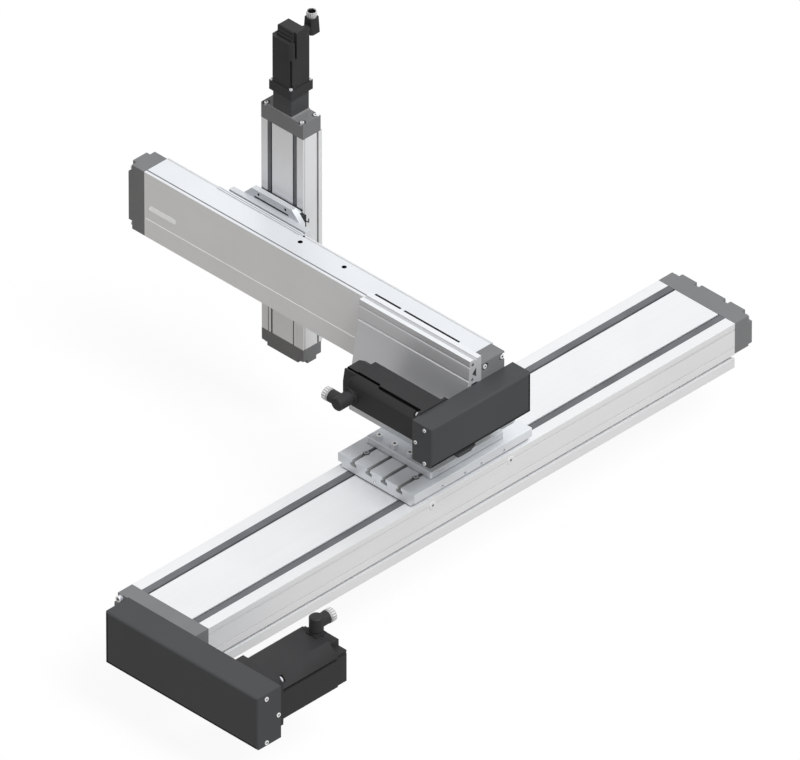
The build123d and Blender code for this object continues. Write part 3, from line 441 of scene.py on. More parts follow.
def moulded(name, colour, roughness, grain_size, relief_m, bloom=0.25, gloss=0.2):
    """Moulded or painted surface with a fine even grain."""
    made = bpy.data.materials.new(name)
    made.use_nodes = True
    nodes, links = made.node_tree.nodes, made.node_tree.links
    nodes["Principled BSDF"].inputs["Specular IOR Level"].default_value = gloss
    where = nodes.new("ShaderNodeTexCoord")
    grain = added(nodes, "ShaderNodeTexNoise", {"Scale": 1.0 / grain_size, "Detail": 4.0})
    links.new(where.outputs["Object"], grain.inputs["Vector"])
    patches = added(nodes, "ShaderNodeTexNoise", {"Scale": PATCHES, "Detail": 3.0})
    links.new(where.outputs["Object"], patches.inputs["Vector"])
    tint = added(nodes, "ShaderNodeMapRange", {"From Min": 0.3, "From Max": 0.75,
                                               "To Min": 1.0 - bloom * 0.4, "To Max": 1.0 + bloom})
    links.new(patches.outputs["Fac"], tint.inputs["Value"])
    return surfaced(made, colour, tint, grain,
                    {"To Min": roughness - 0.08, "To Max": roughness + 0.10},
                    {"Strength": 0.4, "Distance": relief_m})


seal_rubber = moulded("seal_lip", SEAL_COLOUR, roughness=0.55, grain_size=0.0012, relief_m=0.00005)
for axis in "xyz":
    coat(axis + "_seal_strips", seal_rubber)

# Strip covers of the upright module: below the beam its grooves are closed by flat strips of
# anodised aluminium, which leave narrow dark lines beside them, where the arms of the
# carriage pass at the top of its travel.
COVER_X = (112.02, 112.35)
COVER_Y = ((474.1, 482.45), (542.55, 548.9))
COVER_Z = (50.2, 105.0)
covers = [(oblong(COVER_X[0], y0, COVER_X[1], y1), *COVER_Z) for y0, y1 in COVER_Y]
finished("z_strip_covers", extruded("z_strip_covers", covers, 2), [profile_metal["z"]], "z_slide",
         0)

# Drive heads and end caps: die-cast aluminium with a grey powder coat, screwed to the ends
# of each profile. The free-end caps carry raised pads, and the upright one's head a bright
# step under the motor mount.
HEAD_COLOUR = (0.203, 0.207, 0.212, 1)
STEP_HEIGHT = 0.0016
head_coat = moulded("grey_powder_coat", HEAD_COLOUR,
                    roughness=0.48, grain_size=0.0009, relief_m=0.00006, bloom=0.06)
bare_cast = drawn_metal("bare_step", (0.36, 0.36, 0.35, 1), -1,
                        roughness=0.5, metallic=0.2, streak=0.1)
mount_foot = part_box("z_motor_mount")[0][2]
for axis in "xyz":
    eased(axis + "_drive_head", 0.0008, [head_coat, bare_cast],
          lambda centre, normal: 1 if centre[2] > mount_foot - STEP_HEIGHT else 0)
    eased(axis + "_end_cap", 0.0008, [head_coat])

# Belt housings and their end covers, with the block around the Z coupling: extruded and
# milled aluminium, anodised black. Their faces keep a faint grey sheen. The outer face of each
# housing is cut back a little along its foot and its inner end, and that rebate and the faces
# of its edge round that look down or inwards are painted near-black: painted shade.
BLACK_ANODISE = (0.066, 0.069, 0.072, 1)
# near-black for the housings' edge rounds that look down or inwards: painted shade
RIM_SHADE_COLOUR = (0.010, 0.010, 0.010, 1)
EDGE_ROUND = 0.0046
ROUND_OUTWARD = (-0.985, -0.2)     # how far a face of the edge round may look outwards
ROUND_SIDEWAYS = 0.15              # and how far it looks down or inwards at least
housing_black = {axis: drawn_metal("black_anodised" + tail, BLACK_ANODISE, along,
                                   roughness=0.42, metallic=0.0, streak=0.10, gloss=0.15)
                 for axis, tail, along in (("x", "", 1), ("y", "_x", 0))}
# painted shade on the housings' lower and inner edge rounds
rim_painted_shade = moulded("rim_painted_shade", RIM_SHADE_COLOUR,
                    roughness=0.6, grain_size=0.001, relief_m=0.00004, bloom=0.1, gloss=0.1)
# the way the outer face looks, the way to the inner end, and the cuts for the foot and that end
HOUSING_RIMS = {"x": (0, 1, ((-790, -330, -20), (-787.7, 80, -9.6)),
                      ((-791, 67.2, -22), (-787.7, 82, 101))),
                "y": (1, 0, ((-190, -171, 236), (90, -168.7, 243.4)),
                      ((75.2, -172, 234), (92, -168.7, 327)))}
for axis, (out, end, foot, inner_end) in HOUSING_RIMS.items():
    for part, cuts in (("_belt_housing", (foot,)), ("_belt_cover", (foot, inner_end))):
        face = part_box(axis + part)[0][out]

        # edge round faces that look down or inwards, and the rebate's, get the near-black: painted
        # shade
        def housing_finish(centre, normal, out=out, end=end, face=face):
            on_round = (centre[out] < face + EDGE_ROUND
                        and ROUND_OUTWARD[0] < normal[out] < ROUND_OUTWARD[1])
            return 0 if on_round and max(-normal[2], normal[end]) > ROUND_SIDEWAYS else 1

        eased(axis + part, 0.0004, [rim_painted_shade, housing_black[axis]], housing_finish,
              [extruded("rim", [(oblong(x0, y0, x1, y1), z0, z1)], 2)
               for (x0, y0, z0), (x1, y1, z1) in cuts])
eased("z_motor_mount", 0.0008, [housing_black["x"]])

# Servo motors: square die-cast bodies in matt black lacquer, with a stepped rear cap over
# the feedback unit. Each is bolted by its flange to a belt housing or mount. The faces of the
# lengthwise grooves in the beam's motor are painted near-black: painted shade.
MOTOR_COLOUR = (0.036, 0.036, 0.037, 1)
# near-black for the faces of the beam motor's grooves: painted shade
CHANNEL_SHADE_COLOUR = (0.006, 0.006, 0.006, 1)
BEAM_MOTOR_MIDDLE = (-0.125, 0.2885)
BEAM_MOTOR_HALF = 0.041
BEAM_MOTOR_BEVEL = 0.0170
CHANNEL_Y = (-0.1065, 0.0535)
CHANNEL_DEPTH = (0.0012, 0.010)
motor_lacquer = moulded("motor_lacquer", MOTOR_COLOUR,
                        roughness=0.46, grain_size=0.0011, relief_m=0.00008, bloom=0.10, gloss=0.14)
# painted shade in the beam motor's grooves
channel_painted_shade = moulded("channel_painted_shade", CHANNEL_SHADE_COLOUR,
                        roughness=0.7, grain_size=0.0011, relief_m=0.00004, bloom=0.10, gloss=0.05)


# faces inside the grooves of the beam's motor get the near-black: painted shade
def beam_motor_finish(centre, normal):
    if not CHANNEL_Y[0] < centre[1] < CHANNEL_Y[1] or abs(normal[1]) > 0.5:
        return 0
    a, b = abs(centre[0] - BEAM_MOTOR_MIDDLE[0]), abs(centre[2] - BEAM_MOTOR_MIDDLE[1])
    depth = min(BEAM_MOTOR_HALF - a, BEAM_MOTOR_HALF - b,
                (2 * BEAM_MOTOR_HALF - BEAM_MOTOR_BEVEL - a - b) / math.sqrt(2))
    return 1 if CHANNEL_DEPTH[0] < depth < CHANNEL_DEPTH[1] else 0


for axis in "xyz":
    eased(axis + "_motor", 0.0010, [motor_lacquer, channel_painted_shade],
          beam_motor_finish if axis == "y" else None)

# Motor connectors: black cast turrets that turn on the motor, with a nickel-plated threaded
# ring round each open socket and a black insulator with four pins inside it.
RING_LENGTH = 0.013
RING_EDGE = 0.0002         # how near the ring's ends a face still counts as on them
SOCKET_DEPTH = 0.006       # how far the insulator reaches past the ring
RING_WALL = 0.0017
MOUTH_WALL = 0.0009
MOUTH_DEPTH_MM = 1.3
ring_nickel = drawn_metal("nickel_ring", (0.98, 0.98, 0.98, 1), -1,
                          roughness=0.24, metallic=0.3, streak=0.03)
# a darker copy of the nickel for the ring's side between the ridges: painted shade
ring_side_shade = drawn_metal("nickel_side_painted_shade", (0.45, 0.45, 0.45, 1), -1,
                          roughness=0.3, metallic=0.5, streak=0.06)
insulator = moulded("insulator", (0.012, 0.012, 0.012, 1),
                    roughness=0.6, grain_size=0.0009, relief_m=0.00004, bloom=0.1, gloss=0.1)
# the ring's axis, its middle in the other two axes, and its radius
RING_AXES = {"x": (0, (-0.251, 0.1234), 0.0136), "y": (1, (-0.194, 0.2885), 0.0132),
             "z": (2, (0.1902, 0.5125), 0.0097)}
for axis, (along, middle, radius) in RING_AXES.items():
    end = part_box(axis + "_motor_connector")[1][along]
    others = [k for k in range(3) if k != along]

    def ring_or_turret(centre, normal, along=along, others=others, middle=middle, radius=radius,
                       end=end):
        away = math.hypot(*(centre[k] - middle[i] for i, k in enumerate(others)))
        in_socket = end - RING_LENGTH - SOCKET_DEPTH < centre[along] < end - RING_EDGE
        if in_socket and away < radius - RING_WALL:
            return 2
        # the ring's ends in nickel and its side in the darker copy: painted shade
        if centre[along] > end - RING_LENGTH + RING_EDGE:
            return 1 if abs(normal[along]) > 0.5 else 3
        return 0

    mouth = disc(middle[0] * 1000, middle[1] * 1000, (radius - MOUTH_WALL) * 1000, 40)
    mouth_cutter = extruded("mouth", [(mouth, end * 1000 - MOUTH_DEPTH_MM, end * 1000 + 2)], along)
    eased(axis + "_motor_connector", 0.0003, [motor_lacquer, ring_nickel, insulator, ring_side_shade],
          ring_or_turret, [mouth_cutter])

# Carriages, adapter plate and cross plate: aluminium, milled all over and anodised. The
# milled faces are greyer than the extruded ones. The adapter plate is a darker copy of their
# colour, painted shade; its rounded edges are painted near-white, a painted highlight, and
# those that face down dark, painted shade. The faces of the table's slots and the faces of the
# Y carriage and cross plate that look towards -x or up are darker copies of the plate's
# colour, and the cross plate's slot and holes are near-black: painted shade.
PLATE_COLOUR = (0.825, 0.850, 0.885, 1)
# the adapter plate's colour is set darker than the others': painted shade
ADAPTER_SHADE_COLOUR = (0.69, 0.715, 0.745, 1)
TABLE_TOP = 0.130
TABLE_ROWS = (-0.060, -0.020, 0.020, 0.060)
SLOT_FACES = (TABLE_TOP - 0.0145, TABLE_TOP - 0.0002)
SLOT_HALF = 0.0083
CROSS_SLOT_Z = (0.3612, 0.3653)
CROSS_SLOT_DEPTH = (0.0002, 0.0065)
CROSS_HOLES = ((0.4785, 0.3723), (0.549, 0.3723))
CROSS_HOLE_RADIUS = 0.0029
plate_metal = drawn_metal("milled_plate", PLATE_COLOUR, -1,
                          roughness=0.38, metallic=0.25, streak=0.05)
# painted shade: the adapter plate's darker copy of the plate colour
adapter_shaded_metal = drawn_metal("adapter_plate", ADAPTER_SHADE_COLOUR, -1,
                            roughness=0.40, metallic=0.25, streak=0.06)
# near-white for the adapter plate's rounded edges: painted highlight
plate_edge_highlight = drawn_metal("plate_edge_painted_highlight", (0.92, 0.96, 1.0, 1), -1,
                         roughness=0.35, metallic=0.0, streak=0.0)
slot_shade = drawn_metal("slot_floor", (0.60, 0.61, 0.62, 1), -1,
                         roughness=0.5, metallic=0.0, streak=0.10, gloss=0.2)
chamber_shade = drawn_metal("chamber_shade", (0.22, 0.22, 0.23, 1), -1,
                            roughness=0.5, metallic=0.0, streak=0.12, gloss=0.2)
# a darker copy of the plate colour for faces that look towards -x: painted shade
front_face_shade_metal = drawn_metal("front_face_painted_shade", (0.56, 0.58, 0.61, 1), -1,
                           roughness=0.40, metallic=0.20, streak=0.06)
# a darker copy for the up-facing faces of the Y carriage and cross plate: painted shade
top_face_shade_metal = drawn_metal("cross_top_painted_shade", (0.66, 0.68, 0.70, 1), -1,
                              roughness=0.38, metallic=0.25, streak=0.06)
# near-black for the cross plate's slot and holes: painted shade
cross_slot_painted_shade = moulded("cross_slot_painted_shade", (0.012, 0.012, 0.012, 1),
                     roughness=0.7, grain_size=0.001, relief_m=0.00004, bloom=0.1, gloss=0.1)
cross_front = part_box("cross_plate")[0][0]


def table_finish(centre, normal):
    in_slot = SLOT_FACES[0] < centre[2] < SLOT_FACES[1] and abs(normal[0]) < 0.5
    return 1 if in_slot and min(abs(centre[1] - row) for row in TABLE_ROWS) < SLOT_HALF else 0


# the cross plate's slot and holes near-black, its faces towards -x and up darker: painted shade
def cross_finish(centre, normal):
    if (CROSS_SLOT_Z[0] < centre[2] < CROSS_SLOT_Z[1]
            and CROSS_SLOT_DEPTH[0] < centre[0] - cross_front < CROSS_SLOT_DEPTH[1]):
        return 2
    if min(math.hypot(centre[1] - y, centre[2] - z) for y, z in CROSS_HOLES) < CROSS_HOLE_RADIUS:
        return 2
    return 1 if normal[0] < -0.9 else 3 if normal[2] > 0.9 else 0


eased("x_carriage", 0.0008, [plate_metal, slot_shade], table_finish)
# the Y carriage's faces towards -x and up in darker copies: painted shade
eased("y_carriage", 0.0005, [plate_metal, front_face_shade_metal, top_face_shade_metal],
      lambda centre, normal: 1 if normal[0] < -0.9 else 2 if normal[2] > 0.9 else 0)
eased("z_carriage", 0.0005, [plate_metal])
# adapter plate: darker colour and dark lower edges, painted shade; other edges, painted highlight
eased("adapter_plate", 0.0022, [adapter_shaded_metal, plate_edge_highlight, chamber_shade], edge=1)
eased("cross_plate", 0.0005, [plate_metal, front_face_shade_metal, cross_slot_painted_shade, top_face_shade_metal],
      cross_finish)

# Angle bracket: a hollow aluminium extrusion sawn to length and anodised. The press leaves a
# round channel along its top and two shallow ones along its front. The walls of its chambers
# are painted dark, painted shade, and its faces other than the top are a darker copy of its
# colour, a painted reflection of the dark motor beside it.
# the bracket's faces other than its top: a darker copy, a painted reflection of the dark motor
BRACKET_REFLECTION_COLOUR = (0.625, 0.63, 0.645, 1)
BRACKET_TOP_COLOUR = (0.87, 0.885, 0.905, 1)
BRACKET_TOP = 379.0
BRACKET_FRONT = -24.0
BRACKET_Y = (-125.0, 175.0)
# x and z limits of the chambers, in millimetres as all sizes of the bracket
CHAMBERS = ((-24.5, -13, 340, 360.5), (-36.5, -9.5, 261.5, 328.5), (-42.5, -9.5, 195.5, 250.5),
            (-45.5, 6.5, 157.5, 184.5), (-26.2, -18.8, 366.3, 373.7), (-27.2, -19.8, 333.3, 340.7))
TOP_CHANNEL = ((-21.0, 380.6), (-19.0, 379.6), (-17.0, 378.5), (-15.0, 377.4), (-13.4, 376.8),
               (-12.3, 376.9), (-11.9, 377.6), (-11.8, 380.6), (-12.0, 383), (-21, 383))
FRONT_CHANNEL = ((-3, 3.4), (0.2, 2.9), (1.3, 1.9), (1.7, 0.4), (1.3, -1.2), (0.5, -2.4), (-0.6, -3.3),
                 (-3, -3.6))
FRONT_PLACES = ((-30.6, 367.5), (-33.6, 338.8))
# painted reflection of the dark motor on the bracket's front and sides
bracket_reflection_metal = drawn_metal("bracket_painted_reflection", BRACKET_REFLECTION_COLOUR, 1,
                            roughness=0.42, metallic=0.35, streak=0.02, grain=0.00003)
bracket_top_metal = drawn_metal("bracket_top", BRACKET_TOP_COLOUR, 1,
                                roughness=0.38, metallic=0.25, streak=0.03)


# top faces in their own colour, chamber walls painted shade, other faces the darker painted reflection
def bracket_finish(centre, normal):
    x, z = centre[0] * 1000, centre[2] * 1000
    if normal[2] > 0.9 and z > BRACKET_TOP:
        return 2
    if normal[0] < -0.5 and x < BRACKET_FRONT:
        return 0
    inside = any(x0 < x < x1 and z0 < z < z1 for x0, x1, z0, z1 in CHAMBERS)
    return 1 if inside and abs(normal[1]) < 0.5 else 0


outlines = [TOP_CHANNEL] + [[(x + a, z + b) for a, b in FRONT_CHANNEL] for x, z in FRONT_PLACES]
eased("angle_bracket", 0.0004, [bracket_reflection_metal, chamber_shade, bracket_top_metal],
      bracket_finish, [extruded("channel", [(outline, *BRACKET_Y)], 1) for outline in outlines])

# Guides and drives inside the modules: ground and hardened steel rails, blocks, screws,
# nuts, bearings, shafts and pulleys, lightly oiled.
guide_steel = drawn_metal("ground_steel", (0.55, 0.56, 0.57, 1), -1,
                          roughness=0.28, metallic=0.9, streak=0.05)
for axis in "xyz":
    for part in ("_guide_rails", "_runner_blocks", "_ball_nut", "_screw_bearings", "_ball_screw"):
        coat(axis + part, guide_steel)
for node in ("x_driven_pulley", "x_drive_pulley", "x_motor_shaft", "y_driven_pulley",
             "y_drive_pulley", "y_motor_shaft", "z_coupling"):
    coat(node, guide_steel)

# Toothed belts: black chloroprene with a woven cover. They are endless, and one runs in each
# belt housing, round the pulleys of the motor and the screw.
belt_rubber = moulded("belt_rubber", (0.035, 0.035, 0.035, 1),
                      roughness=0.7, grain_size=0.0008, relief_m=0.0001)
coat("x_timing_belt", belt_rubber)
coat("y_timing_belt", belt_rubber)

# Carriage wipers: black rubber lips at both ends of each carriage, which keep swarf off the
# cover plate and just clear the profile. Along the top of the beam's carriage a strip with
# two grey seals closes the gap to the beam.
SIDE_STRIP = oblong(56.3, 361.25, 66.5, 361.9)
SIDE_STRIP_Y = (412.5, 630.0)
SIDE_SEALS = (oblong(57.0, 361.85, 58.4, 362.2), oblong(61.6, 361.85, 63.0, 362.2))
# a lip's outline, where each one starts, its length, its axis and its body
WIPERS = {"x": (oblong(-88, 100.35, 88, 103.0), (-154.3, 151.3), 3.0, 0, "x_slide"),
          "y": (oblong(65.35, 224.5, 68.0, 352.5), (412.7, 609.3), 3.0, 1, "y_slide"),
          "z": (oblong(109.6, 459.5, 111.7, 565.5), (208.4, 366.4), 2.2, 2, "y_slide")}
wiper_rubber = moulded("wiper_rubber", (0.020, 0.020, 0.021, 1),
                       roughness=0.65, grain_size=0.0010, relief_m=0.00005, bloom=0.15, gloss=0.15)
side_seal_grey = moulded("side_seal_grey", (0.34, 0.34, 0.36, 1),
                         roughness=0.6, grain_size=0.0010, relief_m=0.00005, bloom=0.1, gloss=0.2)
for axis, (outline, starts, length, along, body) in WIPERS.items():
    lips = extruded(axis + "_wipers", [(outline, start, start + length) for start in starts], along)
    finished(axis + "_wipers", lips, [wiper_rubber], body, 0.0002)
side_strip = extruded("y_side_strip", [(SIDE_STRIP, *SIDE_STRIP_Y)], 1)
finished("y_side_strip", side_strip, [plate_metal], "y_slide", 0.0001)
seals = [(outline, *SIDE_STRIP_Y) for outline in SIDE_SEALS]
finished("y_side_seals", extruded("y_side_seals", seals, 1), [side_seal_grey], "y_slide",
         0)

# Reference switch: a small black moulded switch with a bent spring lever, on the side of
# the Z carriage.
switch_black = moulded("switch_plastic", (0.030, 0.031, 0.033, 1),
                       roughness=0.5, grain_size=0.0009, relief_m=0.00005)
eased("reference_switch", 0.0003, [switch_black])

# Screws and access plugs: zinc-plated steel socket heads with a turned rim, and aluminium
# plugs in the long module's side. They sit where the CAD has them, one piece for each body,
# and are turned at random. The plugs are a little wider than the CAD's. The sockets and the
# sides of the heads take darker materials than their tops: painted shade.
HEAD_SIDES = 24
SOCKET_SHARE = 0.48        # the socket's radius and the rim's width, in head radii
RIM_SHARE = 0.05
SIDE_SHARE = 0.985
HEAD_SEED = 3
ON_RIM = 0.97              # a point this far out, in head radii, is on the head's side
PLUG_MIN_RADIUS = 0.0068
PLUG_GROWTH = 1.25


def screw_places(node):
    """Seat, outward direction, radius and height of each head, from the CAD's screws."""
    shape = bmesh.new()
    shape.from_mesh(frame["nodes"][node].data)
    bmesh.ops.remove_doubles(shape, verts=shape.verts, dist=MERGE_DISTANCE)
    left, found = dict.fromkeys(shape.verts), []
    while left:
        todo = [next(iter(left))]
        del left[todo[0]]
        points, faces = [], set()
        while todo:
            vertex = todo.pop()
            points.append(vertex.co.copy())
            faces.update(vertex.link_faces)
            for edge in vertex.link_edges:
                other = edge.other_vert(vertex)
                if other in left:
                    del left[other]
                    todo.append(other)
        low = Vector([min(p[k] for p in points) for k in range(3)])
        high = Vector([max(p[k] for p in points) for k in range(3)])
        middle = (low + high) / 2
        slanted = [sum(1 for f in faces if 0.1 < abs(f.normal[k]) < 0.9) for k in range(3)]
        axis = slanted.index(min(slanted))
        a, b = [k for k in range(3) if k != axis]
        far = [math.hypot(p[a] - middle[a], p[b] - middle[b]) for p in points]
        radius = max(far)
        rim = [p[axis] for p, away in zip(points, far) if away > radius * ON_RIM]
        above, below = high[axis] - max(rim), min(rim) - low[axis]
        if abs(above - below) < 1e-5:
            side = 1.0 if middle[axis] > 0 else -1.0
        else:
            side = 1.0 if above < below else -1.0
        seat = middle.copy()
        seat[axis] = min(rim) if side > 0 else max(rim)
        outward = Vector((0, 0, 0))
        outward[axis] = side
        found.append((seat, outward, radius, max(rim) - min(rim)))
    shape.free()
    return found


def new_tree(name, sizes):
    """An empty geometry tree with a named input for each size."""
    tree = bpy.data.node_groups.new(name, "GeometryNodeTree")
    tree.is_modifier = True
    tree.interface.new_socket("Geometry", in_out="INPUT", socket_type="NodeSocketGeometry")
    for label, kind, value in sizes:
        entry = tree.interface.new_socket(label, in_out="INPUT", socket_type="NodeSocket" + kind)
        entry.default_value = value
    tree.interface.new_socket("Geometry", in_out="OUTPUT", socket_type="NodeSocketGeometry")
    return tree


def grown(name, tree, mesh, values, body, replaced=None):
    """Run a geometry tree on a mesh and keep the result as one plain piece."""
    piece = bpy.data.objects.new(name, mesh)
    bpy.context.scene.collection.objects.link(piece)
    grower = piece.modifiers.new("grower", "NODES")
    grower.node_group = tree
    for entry in tree.interface.items_tree:
        if entry.item_type == "SOCKET" and entry.in_out == "INPUT" and entry.name in values:
            grower[entry.identifier] = values[entry.name]
    settle(piece)
    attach(piece, body)
    if replaced:
        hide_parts(replaced)
    return piece


def screw_tree(material, socket_material, side_material):
    """Socket heads on points that carry a direction, a radius and a height."""
    tree = new_tree("socket_heads", (("Sides", "Int", HEAD_SIDES),
                                     ("Socket Share", "Float", SOCKET_SHARE),
                                     ("Rim Share", "Float", RIM_SHARE),
                                     ("Seed", "Int", HEAD_SEED)))
    nodes, links = tree.nodes, tree.links
    given, result = nodes.new("NodeGroupInput"), nodes.new("NodeGroupOutput")

    def compared(value, operation, limit):
        """Where a value is so against a number, or against another output."""
        node = added(nodes, "FunctionNodeCompare", data_type="FLOAT", operation=operation)
        links.new(value, node.inputs["A"])
        if isinstance(limit, float):
            node.inputs["B"].default_value = limit
        else:
            links.new(limit, node.inputs["B"])
        return node

    def times(vector, factors):
        """A vector with each of its parts times a factor."""
        node = added(nodes, "ShaderNodeVectorMath", operation="MULTIPLY")
        links.new(vector, node.inputs[0])
        node.inputs[1].default_value = factors
        return node.outputs[0]

    # a drum with its top edge drawn in to a small rim
    drum = added(nodes, "GeometryNodeMeshCylinder", {"Side Segments": 8, "Radius": 1.0, "Depth": 1.0})
    links.new(given.outputs["Sides"], drum.inputs["Vertices"])
    place = nodes.new("GeometryNodeInputPosition")
    parts = nodes.new("ShaderNodeSeparateXYZ")
    links.new(place.outputs[0], parts.inputs[0])
    upper = compared(parts.outputs["Z"], "GREATER_THAN", 0.49)
    drawn_in = added(nodes, "ShaderNodeVectorMath", operation="SCALE")
    links.new(times(place.outputs[0], (-1.0, -1.0, 0.0)), drawn_in.inputs[0])
    links.new(given.outputs["Rim Share"], drawn_in.inputs["Scale"])
    rimmed = nodes.new("GeometryNodeSetPosition")
    links.new(drum.outputs["Mesh"], rimmed.inputs["Geometry"])
    links.new(upper.outputs[0], rimmed.inputs["Selection"])
    links.new(drawn_in.outputs[0], rimmed.inputs["Offset"])
    # a hexagon socket cut into it
    key = added(nodes, "GeometryNodeMeshCylinder", {"Vertices": 6, "Depth": 1.1})
    links.new(given.outputs["Socket Share"], key.inputs["Radius"])
    key_up = added(nodes, "GeometryNodeTransform", {"Translation": (0, 0, 0.45)})
    links.new(key.outputs["Mesh"], key_up.inputs["Geometry"])
    broached = added(nodes, "GeometryNodeMeshBoolean", operation="DIFFERENCE")
    links.new(rimmed.outputs[0], broached.inputs["Mesh 1"])
    links.new(key_up.outputs[0], broached.inputs["Mesh 2"])
    # its faces marked: those in the socket and those on the side, which take darker materials,
    # painted shade
    away = added(nodes, "ShaderNodeVectorMath", operation="LENGTH")
    links.new(times(place.outputs[0], (1.0, 1.0, 0.0)), away.inputs[0])
    within = compared(away.outputs["Value"], "LESS_THAN", given.outputs["Socket Share"])
    sunk = compared(parts.outputs["Z"], "EQUAL", 0.0)
    sunk.inputs["Epsilon"].default_value = 0.45
    in_socket = added(nodes, "FunctionNodeBooleanMath", operation="AND")
    links.new(within.outputs[0], in_socket.inputs[0])
    links.new(sunk.outputs[0], in_socket.inputs[1])
    on_side = compared(away.outputs["Value"], "GREATER_THAN", SIDE_SHARE)
    marked = broached.outputs["Mesh"]
    for label, where in (("in_socket", in_socket), ("on_side", on_side)):
        keep = added(nodes, "GeometryNodeStoreNamedAttribute", {"Name": label},
                     data_type="BOOLEAN", domain="FACE")
        links.new(marked, keep.inputs["Geometry"])
        links.new(where.outputs[0], keep.inputs["Value"])
        marked = keep.outputs[0]
    # one on each point, along its direction and at its size, turned at random
    seated = added(nodes, "GeometryNodeTransform", {"Translation": (0, 0, 0.5)})
    links.new(marked, seated.inputs["Geometry"])
    direction = added(nodes, "GeometryNodeInputNamedAttribute", {"Name": "outward"},
                      data_type="FLOAT_VECTOR")
    aimed = added(nodes, "FunctionNodeAlignRotationToVector", axis="Z")
    links.new(direction.outputs[0], aimed.inputs["Vector"])
    size = added(nodes, "GeometryNodeInputNamedAttribute", {"Name": "head_size"},
                 data_type="FLOAT_VECTOR")
    spread = nodes.new("GeometryNodeInstanceOnPoints")
    links.new(given.outputs["Geometry"], spread.inputs["Points"])
    links.new(seated.outputs[0], spread.inputs["Instance"])
    links.new(aimed.outputs[0], spread.inputs["Rotation"])
    links.new(size.outputs[0], spread.inputs["Scale"])
    chance = added(nodes, "FunctionNodeRandomValue", data_type="FLOAT")
    links.new(given.outputs["Seed"], chance.inputs["Seed"])
    about = nodes.new("ShaderNodeCombineXYZ")
    for socket in chance.outputs:
        if socket.type == "VALUE" and socket.enabled:
            links.new(socket, about.inputs["Z"])
    turned = added(nodes, "GeometryNodeRotateInstances", {"Local Space": True})
    links.new(spread.outputs[0], turned.inputs["Instances"])
    links.new(about.outputs[0], turned.inputs["Rotation"])
    real = nodes.new("GeometryNodeRealizeInstances")
    links.new(turned.outputs[0], real.inputs[0])
    finish = added(nodes, "GeometryNodeSetMaterial", {"Material": material})
    links.new(real.outputs[0], finish.inputs["Geometry"])
    for label, other in (("in_socket", socket_material), ("on_side", side_material)):
        chosen = added(nodes, "GeometryNodeInputNamedAttribute", {"Name": label}, data_type="BOOLEAN")
        toned = added(nodes, "GeometryNodeSetMaterial", {"Material": other})
        links.new(finish.outputs[0], toned.inputs["Geometry"])
        links.new(chosen.outputs[0], toned.inputs["Selection"])
        finish = toned
    links.new(finish.outputs[0], result.inputs["Geometry"])
    return tree


def seats_mesh(name, places):
    """Points for the heads, with their directions and sizes."""
    mesh = bpy.data.meshes.new(name)
    mesh.from_pydata([tuple(seat) for seat, _, _, _ in places], [], [])
    outward = mesh.attributes.new("outward", "FLOAT_VECTOR", "POINT")
    sizes = mesh.attributes.new("head_size", "FLOAT_VECTOR", "POINT")
    for i, (_, direction, radius, height) in enumerate(places):
        outward.data[i].vector = direction
        sizes.data[i].vector = (radius, radius, height)
    return mesh


screw_zinc = drawn_metal("zinc_plate", WHITE, -1, roughness=0.28, metallic=0.10, streak=0.02)
# a darker copy of the zinc for the sides of the heads: painted shade
screw_side_shade = drawn_metal("zinc_side_painted_shade", (0.66, 0.67, 0.72, 1), -1,
                         roughness=0.28, metallic=0.40, streak=0.05)
socket_shade = drawn_metal("socket_shade", (0.13, 0.13, 0.14, 1), -1,
                           roughness=0.5, metallic=0.2, streak=0.1)
heads = screw_tree(screw_zinc, socket_shade, screw_side_shade)
for node in ("x_screws_and_plugs", "carried_cap_screws", "z_cap_screws"):
    places = screw_places(node)
    plugs = [p for p in places if p[2] > PLUG_MIN_RADIUS and p[0][1] < -0.09 and abs(p[0][0]) < 0.2]
    places = [p for p in places if p not in plugs]
    plugs = [(seat, outward, radius * PLUG_GROWTH, height) for seat, outward, radius, height in plugs]
    grown(node + "_heads", heads, seats_mesh(node + "_seats", places), {"Seed": HEAD_SEED},
          frame["nodes"][node]["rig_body"], node)
    if plugs:
        # the plugs' sides take the grooves' darker colour: painted shade
        grown("x_access_plugs", screw_tree(profile_metal["x"], socket_shade, groove_shade_metal),
              seats_mesh("plug_seats", plugs), {"Socket Share": 0.3, "Rim Share": 0.1},
              "x_base")

# T-nuts: two steel blocks left in the table's slots, each with a flat screw and a dark washer
# on it, and the grease nipple of the carriage, pressed into the table's end.
NUT_PLACES = ((-120.0, 60.0), (-111.0, -60.0))
NUT_HALF = 7.0
NUT_FOOT, NUT_NECK = 7.2, 3.8      # half widths of a nut's section
NUT_Z = (117, 122.6, 129.7)        # and its heights: foot, shoulder and top
WASHER_RADIUS = 6.6
WASHER_Z = (129.6, 130.3)
FLAT_HEAD_SEAT = 130.2
FLAT_HEAD = (0.0054, 0.0016)       # radius and height, in metres as those of the nipple
NIPPLE_SEAT = Vector((-0.1545, 0.0046, 0.1109))
NIPPLE = (0.0034, 0.0022)
nut_steel = drawn_metal("nut_steel", (0.30, 0.30, 0.31, 1), -1,
                        roughness=0.35, metallic=0.4, streak=0.06)
nut_screw_steel = drawn_metal("nut_screw_steel", (0.50, 0.51, 0.53, 1), -1,
                              roughness=0.35, metallic=0.3, streak=0.06)
foot_z, shoulder_z, top_z = NUT_Z
nut_side = ((NUT_FOOT, foot_z), (NUT_FOOT, shoulder_z), (NUT_NECK, shoulder_z), (NUT_NECK, top_z))
blocks, washers, flat_heads = [], [], []
